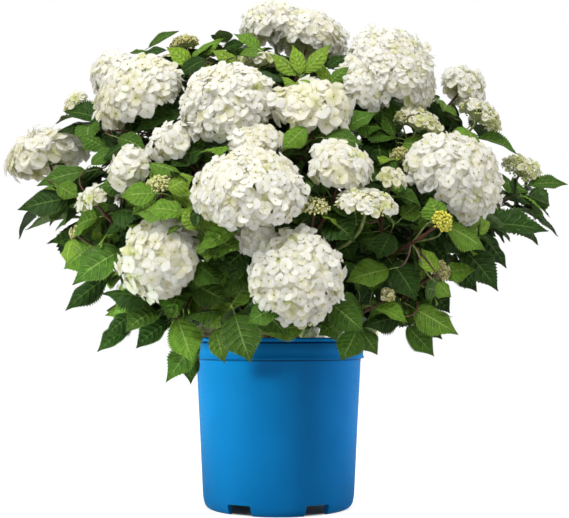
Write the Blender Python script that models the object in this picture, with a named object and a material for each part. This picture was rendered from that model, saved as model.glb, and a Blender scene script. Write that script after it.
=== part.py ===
"""White mophead hydrangea shrub in a blue nursery pot, in metres, +Z up.

The origin is the centre of the pot's underside, and -Y is the front. Canes rise from a short
woody crown on the potting mix. Each cane ends at the foot of one mass of foliage: a stem that
branches into shoots, with pairs of leaves along them and a flower head on most tips.
"""

import bmesh
import bpy
import numpy as np
from collections import namedtuple
from math import cos, pi, radians, sin, sqrt
from mathutils import Matrix, Vector
from mathutils.bvhtree import BVHTree
from random import Random

# ---------------------------------------------------------------- driving dimensions
POT_HEIGHT = 0.233
POT_TOP_RADIUS = 0.115  # of the body, just under the lip band
POT_FOOT_RADIUS = 0.1052  # of the body, where it rounds into the foot
POT_WALL = 0.002
POT_SIDES = 44
LIP_DEPTH = 0.0285  # height of the band round the top
LIP_PROUD = 0.0038  # how far the band stands out of the body
FOOT_ROUNDING = 0.020
FLOOR_UNDERSIDE = 0.016
NOTCHES = 6
NOTCH_WIDTH = 0.035
NOTCH_HEIGHT = 0.0145
MIX_BELOW_RIM = 0.016
GAP = 0.0003  # clearance between pieces that rest on each other

CROWN_RADIUS = 0.030  # of the woody crown's dome, which the canes leave
CROWN_FLARE_RADIUS = 0.043
CROWN_DOME_HEIGHT = 0.012  # of the dome's centre above the mix
CANE_FOOT_RADIUS = 0.0044
CANE_TIP_RADIUS = 0.0030
CANE_APART = 0.36  # between the ways of two canes on the crown's dome, for a radius of 1
LOWEST_CANE = 0.16
CANE_SHARE = 0.44  # how much of the way out a cane goes before its mass begins

STEM_RADIUS = 0.0030
SHOOT_RADIUS = 0.0025
STEM_STEPS = 4
SHOOT_STEPS = 3
CANE_STEPS = 4
CANE_SIDES = 5
SHOOT_SIDES = 4  # so that each pair of leaves leaves two opposite flats
TIP_RADIUS = 0.0020
LEAF_LENGTH = 0.122  # petiole and blade
LEAF_WIDTH = 0.076
LEAF_STALK = 0.20  # of a leaf's length
STALK_WIDTH = 0.0019
PAIR_SPACING = 0.042
MOST_PAIRS = (4, 3)  # of leaves, on a mass's stem and on a shoot that branches from it
LOWEST_LEAF = 0.203
LOWEST_HANGING = {"low_left": 0.168}  # masses whose leaves hang lower than that
CROWN_EDGES = (-0.392, 0.404, -0.326, 0.320)  # left, right, front and back
STEEPEST_LEAF = -0.50  # downward part of a leaf's direction
LEAF_ROOT = 0.009  # of a leaf's length, which may touch the shoot that it grows from
LEAF_SIZES = (1.0, 0.84, 0.70, 0.56)  # and turns, tried until a leaf fits
LEAF_TURNS = ((0, 0), (20, 0), (-20, 0), (0, 22), (0, -22))  # degrees, sideways and down
SPACE_MARGIN = 0.0006  # that a leaf keeps from the edge of its mass's space
SEED = 21

MIX_TOP = POT_HEIGHT - MIX_BELOW_RIM
CROWN_CENTRE = Vector((0, 0, MIX_TOP + CROWN_DOME_HEIGHT))
HUB = Vector((0, 0, MIX_TOP + 0.018))  # the spaces of the masses meet here

# ---------------------------------------------------------------- the shrub's layout
# A tip is where a shoot ends: its place, what it bears, that head's width and height along
# its own axis, and how far the axis leans outwards from upright, in degrees.
Tip = namedtuple("Tip", "x y z bears width rise lean")
Leaf = namedtuple("Leaf", "foot along normal length width")
Limb = namedtuple("Limb", "path ways flats radii")  # points, and directions at them
Shoot = namedtuple("Shoot", "limb tip leaves")

OPEN, YOUNG, BUD, LEAFY = "open", "young", "bud", "leafy"

FRONT_MASSES = {
    "top": (
        Tip(0.051, 0.000, 0.674, OPEN, 0.098, 0.070, 12),
        Tip(-0.017, 0.020, 0.689, OPEN, 0.066, 0.056, 10),
        Tip(-0.028, -0.060, 0.611, YOUNG, 0.058, 0.026, 5),
        Tip(-0.072, -0.020, 0.648, LEAFY, 0, 0, 25),
        Tip(0.026, -0.118, 0.600, LEAFY, 0, 0, 20),
    ),
    "upper_right": (
        Tip(0.159, -0.080, 0.600, OPEN, 0.122, 0.088, 35),
        Tip(0.108, -0.118, 0.566, OPEN, 0.068, 0.055, 50),
        Tip(0.264, 0.000, 0.589, OPEN, 0.066, 0.054, 40),
        Tip(0.282, -0.030, 0.541, YOUNG, 0.064, 0.036, 35),
        Tip(0.185, -0.108, 0.516, YOUNG, 0.062, 0.034, 20),
    ),
    "right": (
        Tip(0.223, -0.170, 0.448, OPEN, 0.126, 0.088, 60),
        Tip(0.235, -0.170, 0.397, OPEN, 0.042, 0.034, 75),
        Tip(0.196, -0.218, 0.373, BUD, 0.024, 0.018, 55),
        Tip(0.139, -0.220, 0.424, YOUNG, 0.034, 0.026, 35),
        Tip(0.238, -0.115, 0.350, LEAFY, 0, 0, 65),
    ),
    "centre": (
        Tip(-0.035, -0.250, 0.410, OPEN, 0.137, 0.084, 25),
        Tip(0.075, -0.230, 0.439, OPEN, 0.078, 0.048, 18),
        Tip(0.105, -0.250, 0.389, YOUNG, 0.070, 0.036, 18),
        Tip(-0.027, -0.200, 0.353, OPEN, 0.046, 0.030, 60),
        Tip(-0.100, -0.215, 0.368, LEAFY, 0, 0, 60),
    ),
    "low_centre": (
        Tip(0.024, -0.250, 0.311, OPEN, 0.120, 0.080, 55),
        Tip(0.034, -0.220, 0.256, YOUNG, 0.032, 0.022, 80),
        Tip(0.134, -0.200, 0.285, BUD, 0.018, 0.014, 55),
        Tip(-0.056, -0.160, 0.264, LEAFY, 0, 0, 80),
        Tip(0.084, -0.145, 0.264, LEAFY, 0, 0, 80),
    ),
    "low_left": (
        Tip(-0.146, -0.200, 0.330, OPEN, 0.102, 0.078, 72),
        Tip(-0.205, -0.100, 0.312, LEAFY, 0, 0, 70),
        Tip(-0.170, -0.065, 0.276, LEAFY, 0, 0, 80),
        Tip(-0.118, -0.095, 0.258, LEAFY, 0, 0, 90),
    ),
    "upper_centre": (
        Tip(-0.066, -0.150, 0.542, OPEN, 0.126, 0.074, 25),
        Tip(0.043, -0.160, 0.527, OPEN, 0.106, 0.054, 12),
        Tip(-0.027, -0.190, 0.477, OPEN, 0.069, 0.038, 20),
        Tip(-0.134, -0.170, 0.481, OPEN, 0.054, 0.040, 45),
    ),
    "upper_left": (
        Tip(-0.174, -0.100, 0.563, OPEN, 0.096, 0.072, 40),
        Tip(-0.238, -0.040, 0.600, OPEN, 0.062, 0.046, 35),
        Tip(-0.281, -0.040, 0.557, YOUNG, 0.036, 0.026, 45),
        Tip(-0.137, 0.020, 0.658, BUD, 0.040, 0.022, 15),
        Tip(-0.187, 0.010, 0.600, LEAFY, 0, 0, 35),
    ),
    "left": (
        Tip(-0.332, 0.000, 0.493, OPEN, 0.120, 0.064, 18),
        Tip(-0.188, -0.170, 0.448, OPEN, 0.058, 0.042, 45),
        Tip(-0.236, -0.140, 0.410, YOUNG, 0.049, 0.032, 35),
        Tip(-0.146, -0.210, 0.418, BUD, 0.033, 0.022, 30),
        Tip(-0.285, -0.020, 0.415, LEAFY, 0, 0, 65),
        Tip(-0.232, -0.080, 0.362, LEAFY, 0, 0, 65),
    ),
    "far_right": (
        Tip(0.345, 0.000, 0.469, YOUNG, 0.057, 0.036, 30),
        Tip(0.330, -0.010, 0.432, LEAFY, 0, 0, 60),
        Tip(0.250, -0.030, 0.337, LEAFY, 0, 0, 70),
    ),
    "low_right": (
        Tip(0.203, -0.170, 0.317, BUD, 0.026, 0.020, 60),
        Tip(0.198, -0.090, 0.297, LEAFY, 0, 0, 75),
        Tip(0.168, -0.050, 0.275, LEAFY, 0, 0, 85),
        Tip(0.135, -0.100, 0.264, LEAFY, 0, 0, 85),
    ),
}

# The back carries the same growth by rule: one mass for each direction (azimuth from +X
# through +Y, and elevation, in degrees), out to the dome that the front heads lie on.
BACK_MASSES = {
    "back_low_right": (24, 15),
    "back_low_mid_right": (67, 13),
    "back_low_mid_left": (113, 13),
    "back_low_left": (156, 16),
    "back_right": (42, 42),
    "back_centre": (89, 41),
    "back_left": (138, 42),
    "back_top": (91, 66),
}
DOME_CENTRE = Vector((0.008, 0, 0.430))
DOME_RADII = Vector((0.335, 0.285, 0.265))
BACK_SPREAD = ((0, 0), (11, 10), (-11, 11), (-13, -9), (12, -11))  # azimuth, elevation
LARGE_HEADS = (0.100, 0.138)
SMALL_HEADS = (0.034, 0.066)


def unit_from(azimuth, elevation):
    """The unit vector of a direction given in degrees."""
    a, e = radians(azimuth), radians(elevation)
    return Vector((cos(a) * cos(e), sin(a) * cos(e), sin(e)))


def on_dome(direction):
    """Where a ray from the hub meets the dome of the heads."""
    start = Vector([(HUB[i] - DOME_CENTRE[i]) / DOME_RADII[i] for i in range(3)])
    ray = Vector([direction[i] / DOME_RADII[i] for i in range(3)])
    a, b, c = ray.dot(ray), 2 * start.dot(ray), start.dot(start) - 1
    return HUB + direction * (-b + sqrt(b * b - 4 * a * c)) / (2 * a)


def back_tips(name, azimuth, elevation):
    """The tips of one back mass: a large head, then smaller heads, buds and leafy shoots."""
    rng = Random(f"{SEED} {name}")
    tips = []
    for number, (turn, lift) in enumerate(BACK_SPREAD):
        height = elevation + lift * 1.1
        widen = 1 / max(cos(radians(height)), 0.45)
        place = on_dome(unit_from(azimuth + turn * widen + rng.uniform(-2, 2), height))
        place = HUB + (place - HUB) * rng.uniform(0.94, 1.0)
        bears = OPEN if number == 0 else rng.choice((OPEN, YOUNG, BUD, LEAFY))
        if number == 0:
            width = rng.uniform(*LARGE_HEADS)
        else:
            width = {OPEN: 1.0, YOUNG: 0.85, BUD: 0.5, LEAFY: 0}[bears] * rng.uniform(*SMALL_HEADS)
        lean = max(10, 78 - height) + rng.uniform(-8, 8)
        tips.append(Tip(*place, bears, width, width * 0.66, lean))
    return tuple(tips)


def place_of(tip):
    return Vector((tip.x, tip.y, tip.z))


def clear_of_others(tip, others):
    """The tip with its head small enough to stay clear of these tips' heads."""
    rooms = [(place_of(o) - place_of(tip)).length - o.width / 2 for o in others if o.width]
    width = min(tip.width, 2 * (min(rooms) - 0.004))
    return tip._replace(width=width, rise=width * 0.66) if width > 0.016 else tip._replace(width=0)


def all_masses():
    """Each mass's name and its tips, leading shoot first."""
    masses = dict(FRONT_MASSES)
    for name, (azimuth, elevation) in BACK_MASSES.items():
        others = [tip for tips in masses.values() for tip in tips]
        tips = back_tips(name, azimuth, elevation)
        masses[name] = tuple(clear_of_others(tip, others) for tip in tips)
    return masses


def axis_of(tip):
    """The way a shoot points at its tip: up, leaning outwards from the pot's axis."""
    out = Vector((tip.x, tip.y, 0)).normalized()
    lean = radians(tip.lean)
    return out * sin(lean) + Vector((0, 0, cos(lean)))


def limb_between(start, start_way, end, end_way, steps, radii, bend=0.38):
    """A tapering limb that leaves one place and arrives at another along the given ways. Its
    flats are sides square to it that don't twist."""
    reach = (end - start).length * bend
    a, b = start + start_way * reach, end - end_way * reach
    path, ways, flats = [], [], []
    for i in range(steps + 1):
        t = i / steps
        s = 1 - t
        path.append(start * s**3 + a * 3 * s * s * t + b * 3 * s * t * t + end * t**3)
        way = (a - start) * s * s + (b - a) * 2 * s * t + (end - b) * t * t
        way.normalize()
        flat = flats[-1] if flats else way.orthogonal()
        ways.append(way)
        flats.append((flat - way * flat.dot(way)).normalized())
    first, last = radii
    return Limb(path, ways, flats, [first + (last - first) * i / steps for i in range(steps + 1)])


def mass_foot(tips):
    """Where a mass's stem starts, and its way there: part of the way to the mean of its tips."""
    mean = sum((place_of(t) for t in tips), Vector()) / len(tips)
    way = (mean - HUB).normalized()
    foot = HUB + (mean - HUB) * CANE_SHARE
    foot.z = max(foot.z, POT_HEIGHT + 0.016)
    return foot, way


def spread_ways(ways):
    """The ways in which the canes leave the crown: turned up a little, then pushed apart until
    no two canes touch on its dome."""
    up = Vector((0, 0, 1))
    found = [(way + up * (0.14 + 0.30 * sqrt(1 - way.z**2))).normalized() for way in ways]
    for _ in range(60):
        for i, one in enumerate(found):
            for j, other in enumerate(found[:i]):
                apart = one - other
                if apart.length < CANE_APART:
                    push = apart.normalized() * (CANE_APART - apart.length) / 2
                    found[i], found[j] = (one + push).normalized(), (other - push).normalized()
                    one = found[i]
        found = [Vector((w.x, w.y, max(w.z, LOWEST_CANE))).normalized() for w in found]
    return found


def cane(foot, way, start_way):
    """A cane leaves the crown's dome squarely and swings out to the foot of its mass."""
    start = CROWN_CENTRE + start_way * (CROWN_RADIUS + GAP)
    radii = (CANE_FOOT_RADIUS, CANE_TIP_RADIUS)
    return limb_between(start, start_way, foot - way * GAP, way, CANE_STEPS, radii)


def head_foot(tip):
    """Where a shoot ends: a little inside its flower head."""
    return place_of(tip) - axis_of(tip) * tip.rise * 0.22


def along_limb(limb, distance_from_tip):
    """The point, way and flat of a limb at this distance back from its tip."""
    left = distance_from_tip
    path = limb.path
    for i in range(len(path) - 1, 0, -1):
        step = path[i] - path[i - 1]
        if left <= step.length or i == 1:
            way = step.normalized()
            flat = limb.flats[i] + limb.flats[i - 1]
            flat = (flat - way * flat.dot(way)).normalized()
            return path[i] - way * min(left, step.length), way, flat
        left -= step.length


def length_of(limb):
    return sum((b - a).length for a, b in zip(limb.path, limb.path[1:]))


def leaf_at(foot, way, side, rank, headed, rng):
    """One leaf of a pair: it stands off the shoot, under the head where there is one, and its
    face turns outwards and up."""
    young = rank == 0
    if headed:
        open_angle = 80 + 2 * rank
    else:
        open_angle = 54 if young else 66 + 4 * rank
    open_angle = radians(open_angle + rng.uniform(-7, 7))
    size = (0.80 if young else 1.0) * rng.uniform(0.90, 1.10)
    along = side * sin(open_angle) + way * cos(open_angle)
    along.z = max(along.z - 0.14 - 0.09 * rank, STEEPEST_LEAF)
    along.normalize()
    outwards = (foot - HUB).normalized()
    normal = way * sin(open_angle) - side * cos(open_angle) + outwards * 0.7
    normal.z += 0.25
    normal = (normal - along * normal.dot(along)).normalized()
    return Leaf(foot, along, normal, LEAF_LENGTH * size, LEAF_WIDTH * size)


def leaves_of(limb, tip, most_pairs, rng):
    """Opposite leaves in pairs, each pair turned a quarter from the one above."""
    leaves = []
    headed = tip.width > 0.03
    distance = tip.rise * 0.30 + 0.010 if headed else 0.004
    length = length_of(limb)
    turn = pi / 4 + rng.choice((0, pi / 2))
    rank = 0
    while distance < length - 0.012 and rank < most_pairs:
        foot, way, flat = along_limb(limb, distance)
        for opposite in (0, pi):
            side = Matrix.Rotation(turn + opposite, 3, way) @ flat
            leaves.append(leaf_at(foot, way, side, rank, headed, rng))
        turn += pi / 2
        distance += PAIR_SPACING * rng.uniform(0.85, 1.1) * (0.75 if rank == 0 else 1)
        rank += 1
    return leaves


def shoots_of(name, tips):
    """A mass's shoots: the leading one from the foot, the others branching from it."""
    rng = Random(f"{SEED} {name} shoots")
    foot, way = mass_foot(tips)
    shoots = []
    for number, tip in enumerate(tips):
        if number == 0:
            start, start_way, radius, steps = foot, way, STEM_RADIUS, STEM_STEPS
        else:
            lead = shoots[0].limb
            back = length_of(lead) * (0.92 - 0.10 * (number - 1))
            start, start_way, _ = along_limb(lead, back)
            aim = (place_of(tip) - start).normalized()
            start_way = (start_way * 0.35 + aim).normalized()
            radius, steps = SHOOT_RADIUS, SHOOT_STEPS
        ends = (start, start_way, head_foot(tip), axis_of(tip))
        limb = limb_between(*ends, steps, (radius, TIP_RADIUS))
        leaves = leaves_of(limb, tip, MOST_PAIRS[number > 0], rng)
        shoots.append(Shoot(limb, tip, leaves))
    return shoots


# ---------------------------------------------------------------- the spaces of the masses
class Spaces:
    """Each mass keeps to the directions, seen from the hub, that lie nearest its own tips."""

    def __init__(self, masses):
        self.owner, ways = [], []
        for name, tips in masses.items():
            for tip in tips:
                self.owner.append(name)
                ways.append((place_of(tip) - HUB).normalized())
        self.owner = np.array(self.owner)
        self.ways = np.array([list(w) for w in ways])

    def hold(self, name, points):
        """True if all these points lie in the mass's space, clear of its edge."""
        own = self.owner == name
        rays = np.array([list(p - HUB) for p in points])
        score = rays @ self.ways.T
        best = np.where(own, score, -np.inf).argmax(axis=1)
        for ray, row, mine in zip(rays, score, best):
            others = np.flatnonzero(~own)
            apart = np.linalg.norm(self.ways[mine] - self.ways[others], axis=1)
            if ((row[mine] - row[others]) / apart).min() < SPACE_MARGIN:
                return False
        return True


# ---------------------------------------------------------------- meshes
def material(name, colour, roughness, metallic=0.0):
    made = bpy.data.materials.new(name)
    made.use_nodes = True
    made.diffuse_color = (*colour, 1)
    shader = made.node_tree.nodes["Principled BSDF"]
    shader.inputs["Base Color"].default_value = (*colour, 1)
    shader.inputs["Roughness"].default_value = roughness
    shader.inputs["Metallic"].default_value = metallic
    return made


def object_from(name, points, faces, materials, index=0, smooth=False):
    mesh = bpy.data.meshes.new(name)
    mesh.from_pydata([tuple(p) for p in points], [], faces)
    for one in materials:
        mesh.materials.append(one)
    for polygon in mesh.polygons:
        polygon.material_index = index
    if smooth:
        mesh.shade_smooth()
        mesh.set_sharp_from_angle(angle=radians(38))
    made = bpy.data.objects.new(name, mesh)
    bpy.context.scene.collection.objects.link(made)
    return made


def lathe(profile, sides):
    """Points and faces of a profile of (radius, height) turned about Z. It starts and ends on
    the axis, and runs outwards first along the underside."""
    points = [Vector((0, 0, profile[0][1])), Vector((0, 0, profile[-1][1]))]
    faces = []
    rings = []
    for radius, height in profile[1:-1]:
        rings.append(len(points))
        for i in range(sides):
            angle = 2 * pi * (i + 0.5) / sides
            points.append(Vector((radius * cos(angle), radius * sin(angle), height)))
    for i in range(sides):
        j = (i + 1) % sides
        faces.append((0, rings[0] + j, rings[0] + i))
        faces.append((1, rings[-1] + i, rings[-1] + j))
        for low, high in zip(rings, rings[1:]):
            faces.append((low + i, low + j, high + j, high + i))
    return points, faces


def tube(limb, sides, thicker=0.0):
    """Points and faces of a limb, with flat ends square to it."""
    points, faces = [], []
    for centre, way, flat, radius in zip(*limb):
        across = way.cross(flat)
        for k in range(sides):
            angle = 2 * pi * k / sides
            side = flat * cos(angle) + across * sin(angle)
            points.append(centre + side * (radius + thicker))
    last = len(points) - sides
    for low in range(0, last, sides):
        for k in range(sides):
            a, b = low + k, low + (k + 1) % sides
            faces.append((a, b, b + sides, a + sides))
    faces.append(tuple(reversed(range(sides))))
    faces.append(tuple(last + k for k in range(sides)))
    return points, faces


def leaf_solid(leaf, start=0.0002):
    """A leaf as a three-sided stalk and a blade folded along its midrib, with a drooping tip.
    It starts this far along from its foot, sunk in the shoot."""
    across = leaf.normal.cross(leaf.along)
    neck = LEAF_STALK * leaf.length

    def place(along, side, lift):
        return leaf.foot + leaf.along * along + across * side + leaf.normal * lift

    half, deep = STALK_WIDTH / 2, STALK_WIDTH * 0.9
    points = [
        place(start, half, 0),
        place(start, -half, 0),
        place(start, 0, -deep),
        place(neck, half, 0),
        place(neck, -half, 0),
        place(neck, 0, -deep),
        place(leaf.length * 0.52, leaf.width / 2, leaf.length * 0.03),
        place(leaf.length * 0.52, -leaf.width / 2, leaf.length * 0.03),
        place(leaf.length, 0, -leaf.length * 0.10),
    ]
    root_left, root_right, root_low, left, right, low, shoulder_left, shoulder_right, tip = range(9)
    faces = [
        (root_left, root_low, root_right),
        (root_left, root_right, right, left),
        (root_right, root_low, low, right),
        (root_low, root_left, left, low),
        (left, tip, shoulder_left),
        (left, right, tip),
        (right, shoulder_right, tip),
        (low, shoulder_left, tip),
        (low, tip, shoulder_right),
        (left, shoulder_left, low),
        (right, low, shoulder_right),
    ]
    return points, faces


def head_solid(tip, rng):
    """A flower head: a lumpy dome, flatter underneath, square to its shoot's axis."""
    if tip.width > 0.07:
        sides, rings = 8, (-48, 5, 48)
    elif tip.width > 0.045:
        sides, rings = 7, (-25, 35)
    else:
        sides, rings = 5, (-27, 27)
    axis = axis_of(tip)
    turn = Vector((0, 0, 1)).rotation_difference(axis).to_matrix()
    centre = place_of(tip)
    points = [centre - axis * tip.rise * 0.42]
    for number, degrees in enumerate(rings):
        for k in range(sides):
            angle = 2 * pi * (k + number / 2) / sides
            spread = tip.width / 2 * cos(radians(degrees)) * rng.uniform(0.96, 1.08)
            lift = tip.rise * (0.5 if degrees > 0 else 0.42) * sin(radians(degrees))
            way = Vector((cos(angle) * spread, sin(angle) * spread, lift * rng.uniform(0.95, 1.05)))
            points.append(centre + turn @ way)
    points.append(centre + axis * tip.rise * 0.5)
    last = len(points) - 1
    faces = []
    for k in range(sides):
        j = (k + 1) % sides
        faces.append((0, 1 + j, 1 + k))
        faces.append((last, last - sides + k, last - sides + j))
        for ring in range(len(rings) - 1):
            a, b = 1 + ring * sides, 1 + (ring + 1) * sides
            faces.append((a + k, a + j, b + k))
            faces.append((a + j, b + j, b + k))
    return points, faces


def tree_of(points, faces):
    """A search tree of a mesh, to find what touches it."""
    return BVHTree.FromPolygons([tuple(p) for p in points], faces)


# ---------------------------------------------------------------- the pieces
def build_pot(plastic):
    """The turned pot: foot ring, tapered wall, lip band and rolled edge, with notches."""
    lean = (POT_TOP_RADIUS - POT_FOOT_RADIUS) / (POT_HEIGHT - LIP_DEPTH - FOOT_ROUNDING)
    band = POT_TOP_RADIUS + LIP_PROUD
    band_foot = POT_HEIGHT - LIP_DEPTH
    inner_top = POT_TOP_RADIUS - POT_WALL
    inner_foot = POT_FOOT_RADIUS - POT_WALL
    floor_top = FLOOR_UNDERSIDE + POT_WALL
    foot = POT_FOOT_RADIUS
    profile = [
        (0, FLOOR_UNDERSIDE),
        (foot - 0.0125, FLOOR_UNDERSIDE),
        (foot - 0.0115, 0),
        (foot - 0.0080, 0),
        (foot - 0.0040, 0.0035),
        (foot - 0.0012, 0.0100),
        (foot, FOOT_ROUNDING),
        (POT_TOP_RADIUS, band_foot),
        (band + 0.0008, band_foot + 0.0006),
        (band, band_foot + 0.0040),
        (band, POT_HEIGHT - 0.0062),
        (band - 0.0012, POT_HEIGHT - 0.0052),
        (band + 0.0012, POT_HEIGHT - 0.0040),
        (band + 0.0010, POT_HEIGHT - 0.0008),
        (band - 0.0006, POT_HEIGHT),
        (inner_top + 0.0010, POT_HEIGHT),
        (inner_top, POT_HEIGHT - 0.0020),
        (inner_top - lean * 0.010, band_foot - 0.010),
        (inner_foot + lean * 0.006, floor_top + 0.006),
        (inner_foot - 0.0035, floor_top),
        (0, floor_top),
    ]
    pot = object_from("pot", *lathe(profile, POT_SIDES), [plastic], smooth=True)
    for i in range(NOTCHES):
        angle = 2 * pi * (i + 0.5) / NOTCHES + pi / 2
        cutter = notch_cutter(f"notch_cutter_{i + 1}", angle)
        cut = pot.modifiers.new(cutter.name, "BOOLEAN")
        cut.operation, cut.object = "DIFFERENCE", cutter
    return pot


def notch_cutter(name, angle):
    """A block through the foot ring, with its upper corners cut off."""
    inner, outer = POT_FOOT_RADIUS - 0.020, POT_FOOT_RADIUS + 0.010
    half, corner = NOTCH_WIDTH / 2, 0.002
    outline = [
        (-half, -0.005),
        (half, -0.005),
        (half, NOTCH_HEIGHT - corner),
        (half - corner, NOTCH_HEIGHT),
        (corner - half, NOTCH_HEIGHT),
        (-half, NOTCH_HEIGHT - corner),
    ]
    count = len(outline)
    points = [Vector((r, y, z)) for r in (inner, outer) for y, z in outline]
    faces = [tuple(reversed(range(count))), tuple(range(count, 2 * count))]
    for i in range(count):
        j = (i + 1) % count
        faces.append((i, j, j + count, i + count))
    cutter = object_from(name, points, faces, [])
    cutter.rotation_euler.z = angle
    cutter.hide_render = True
    cutter.display_type = "WIRE"
    return cutter


def build_mix(earth):
    """The potting mix that fills the pot, level round the crown and lower at the wall."""
    slope = (POT_TOP_RADIUS - POT_FOOT_RADIUS) / (POT_HEIGHT - LIP_DEPTH - FOOT_ROUNDING)
    floor = FLOOR_UNDERSIDE + POT_WALL + GAP
    foot = POT_FOOT_RADIUS - POT_WALL - 0.0006
    edge = MIX_TOP - 0.004
    profile = [
        (0, floor),
        (foot - 0.0045, floor),
        (foot + slope * 0.004, floor + 0.008),
        (foot + slope * (edge - floor - 0.004), edge),
        (0.092, MIX_TOP),
        (0, MIX_TOP),
    ]
    return object_from("potting_mix", *lathe(profile, POT_SIDES), [earth], smooth=True)


def build_crown(bark):
    """The short woody crown on the mix: a flat cut, a flare, then a dome."""
    foot = MIX_TOP + GAP
    profile = [(0, foot), (CROWN_FLARE_RADIUS, foot), (CROWN_FLARE_RADIUS - 0.006, foot + 0.004)]
    for degrees in range(0, 90, 22):
        angle = radians(degrees)
        height = CROWN_CENTRE.z + CROWN_RADIUS * sin(angle)
        profile.append((CROWN_RADIUS * cos(angle), height))
    profile.append((0, CROWN_CENTRE.z + CROWN_RADIUS))
    return object_from("woody_crown", *lathe(profile, 16), [bark], smooth=True)


def twigs_and_heads(name, shoots):
    """The shoots and flower heads of a mass, each as points, faces and a material's number."""
    rng = Random(f"{SEED} {name} heads")
    made = [(*tube(shoot.limb, SHOOT_SIDES), 0) for shoot in shoots]
    for shoot in shoots:
        if shoot.tip.width:
            made.append((*head_solid(shoot.tip, rng), 1))
    return made


def build_mass(name, shoots, spaces, taken, materials):
    """One mass: its stem, shoots, leaves and heads joined into one solid by a union."""
    (points, faces, _), *others = twigs_and_heads(name, shoots)
    stem = object_from(f"foliage_{name}", points, faces, materials)
    parts = bpy.data.collections.new(name)
    bpy.context.scene.collection.children.link(parts)
    for leaf in leaves_by_rank(shoots):
        fitted = fit_leaf(leaf, name, spaces, taken)
        if fitted:
            others.append((*leaf_solid(fitted), 0))
            taken.append(tree_of(*leaf_solid(fitted)))
    for points, faces, index in others:
        part = object_from("part", points, faces, materials, index)
        bpy.context.scene.collection.objects.unlink(part)
        parts.objects.link(part)
    join = stem.modifiers.new("union", "BOOLEAN")
    join.operation, join.solver = "UNION", "MANIFOLD"
    join.operand_type, join.collection = "COLLECTION", parts
    graph = bpy.context.evaluated_depsgraph_get()
    joined = bpy.data.meshes.new_from_object(stem.evaluated_get(graph))
    stem.modifiers.clear()
    stem.data = joined
    for part in list(parts.objects):
        bpy.data.objects.remove(part)
    bpy.data.collections.remove(parts)
    return stem


def leaves_by_rank(shoots):
    """The outermost pair of every shoot first, then the next pairs in turn."""
    longest = max(len(shoot.leaves) for shoot in shoots)
    for first in range(0, longest, 2):
        for shoot in shoots:
            yield from shoot.leaves[first : first + 2]


def outside_crown(point):
    left, right, front, back = CROWN_EDGES
    return not (left < point.x < right and front < point.y < back)


def fit_leaf(leaf, name, spaces, solids):
    """The leaf, turned or shortened until it keeps to its mass's space and its blade is clear
    of these solids, or None where it can't."""
    across = leaf.normal.cross(leaf.along)
    lowest = LOWEST_HANGING.get(name, LOWEST_LEAF)
    for size in LEAF_SIZES:
        for sideways, down in LEAF_TURNS:
            turn = Matrix.Rotation(radians(sideways), 3, leaf.normal)
            turn = turn @ Matrix.Rotation(radians(down), 3, across)
            tried = leaf._replace(
                along=turn @ leaf.along,
                normal=turn @ leaf.normal,
                length=leaf.length * size,
                width=leaf.width * size,
            )
            points, _ = leaf_solid(tried)
            if min(p.z for p in points) < lowest or any(outside_crown(p) for p in points):
                continue
            edges = [(points[a] + points[b]) / 2 for a, b in ((6, 8), (7, 8), (3, 6), (4, 7))]
            if not spaces.hold(name, points + edges):
                continue
            blade = tree_of(*leaf_solid(tried, LEAF_ROOT))
            if not any(solid.overlap(blade) for solid in solids):
                return tried
    return None


def clear_scene():
    for old in list(bpy.data.objects):
        bpy.data.objects.remove(old)


def main():
    clear_scene()
    plastic = material("blue_plastic", (0.0, 0.205, 0.520), 0.42)
    earth = material("potting_mix", (0.045, 0.030, 0.020), 0.95)
    bark = material("bark", (0.150, 0.075, 0.045), 0.80)
    foliage = material("foliage", (0.055, 0.160, 0.035), 0.55)
    blossom = material("blossom", (0.860, 0.850, 0.740), 0.70)

    solid = [build_pot(plastic), build_mix(earth), build_crown(bark)]
    taken = []
    for one in solid:
        points = [v.co.copy() for v in one.data.vertices]
        taken.append(tree_of(points, [tuple(p.vertices) for p in one.data.polygons]))
    masses = all_masses()
    spaces = Spaces(masses)
    feet = [mass_foot(tips) for tips in masses.values()]
    starts = spread_ways([way for _, way in feet])
    for name, (foot, way), start_way in zip(masses, feet, starts):
        limb = cane(foot, way, start_way)
        object_from(f"cane_{name}", *tube(limb, CANE_SIDES), [bark], smooth=True)
        taken.append(tree_of(*tube(limb, CANE_SIDES, 0.0010)))
    grown = {name: shoots_of(name, tips) for name, tips in masses.items()}
    for name, shoots in grown.items():
        taken += [tree_of(points, faces) for points, faces, _ in twigs_and_heads(name, shoots)]
    for name, shoots in grown.items():
        build_mass(name, shoots, spaces, taken, [foliage, blossom])


main()
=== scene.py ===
"""White mophead hydrangea in a blue nursery pot: the looks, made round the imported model.

The shrub's layout follows the CAD's rule, written again here, with other values in places:
sixteen front tips lie elsewhere, two low masses at the back are drawn in, and the leaves are
smaller and closer. It goes on to finer twigs, leaves, florets and buds. Metres, +Z up, -Y is
the front.
"""

from collections import namedtuple
from math import cos, pi, radians, sin, sqrt
from random import Random
from zlib import crc32

import bpy
import numpy as np
from mathutils import Matrix, Vector
from mathutils.bvhtree import BVHTree


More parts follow.
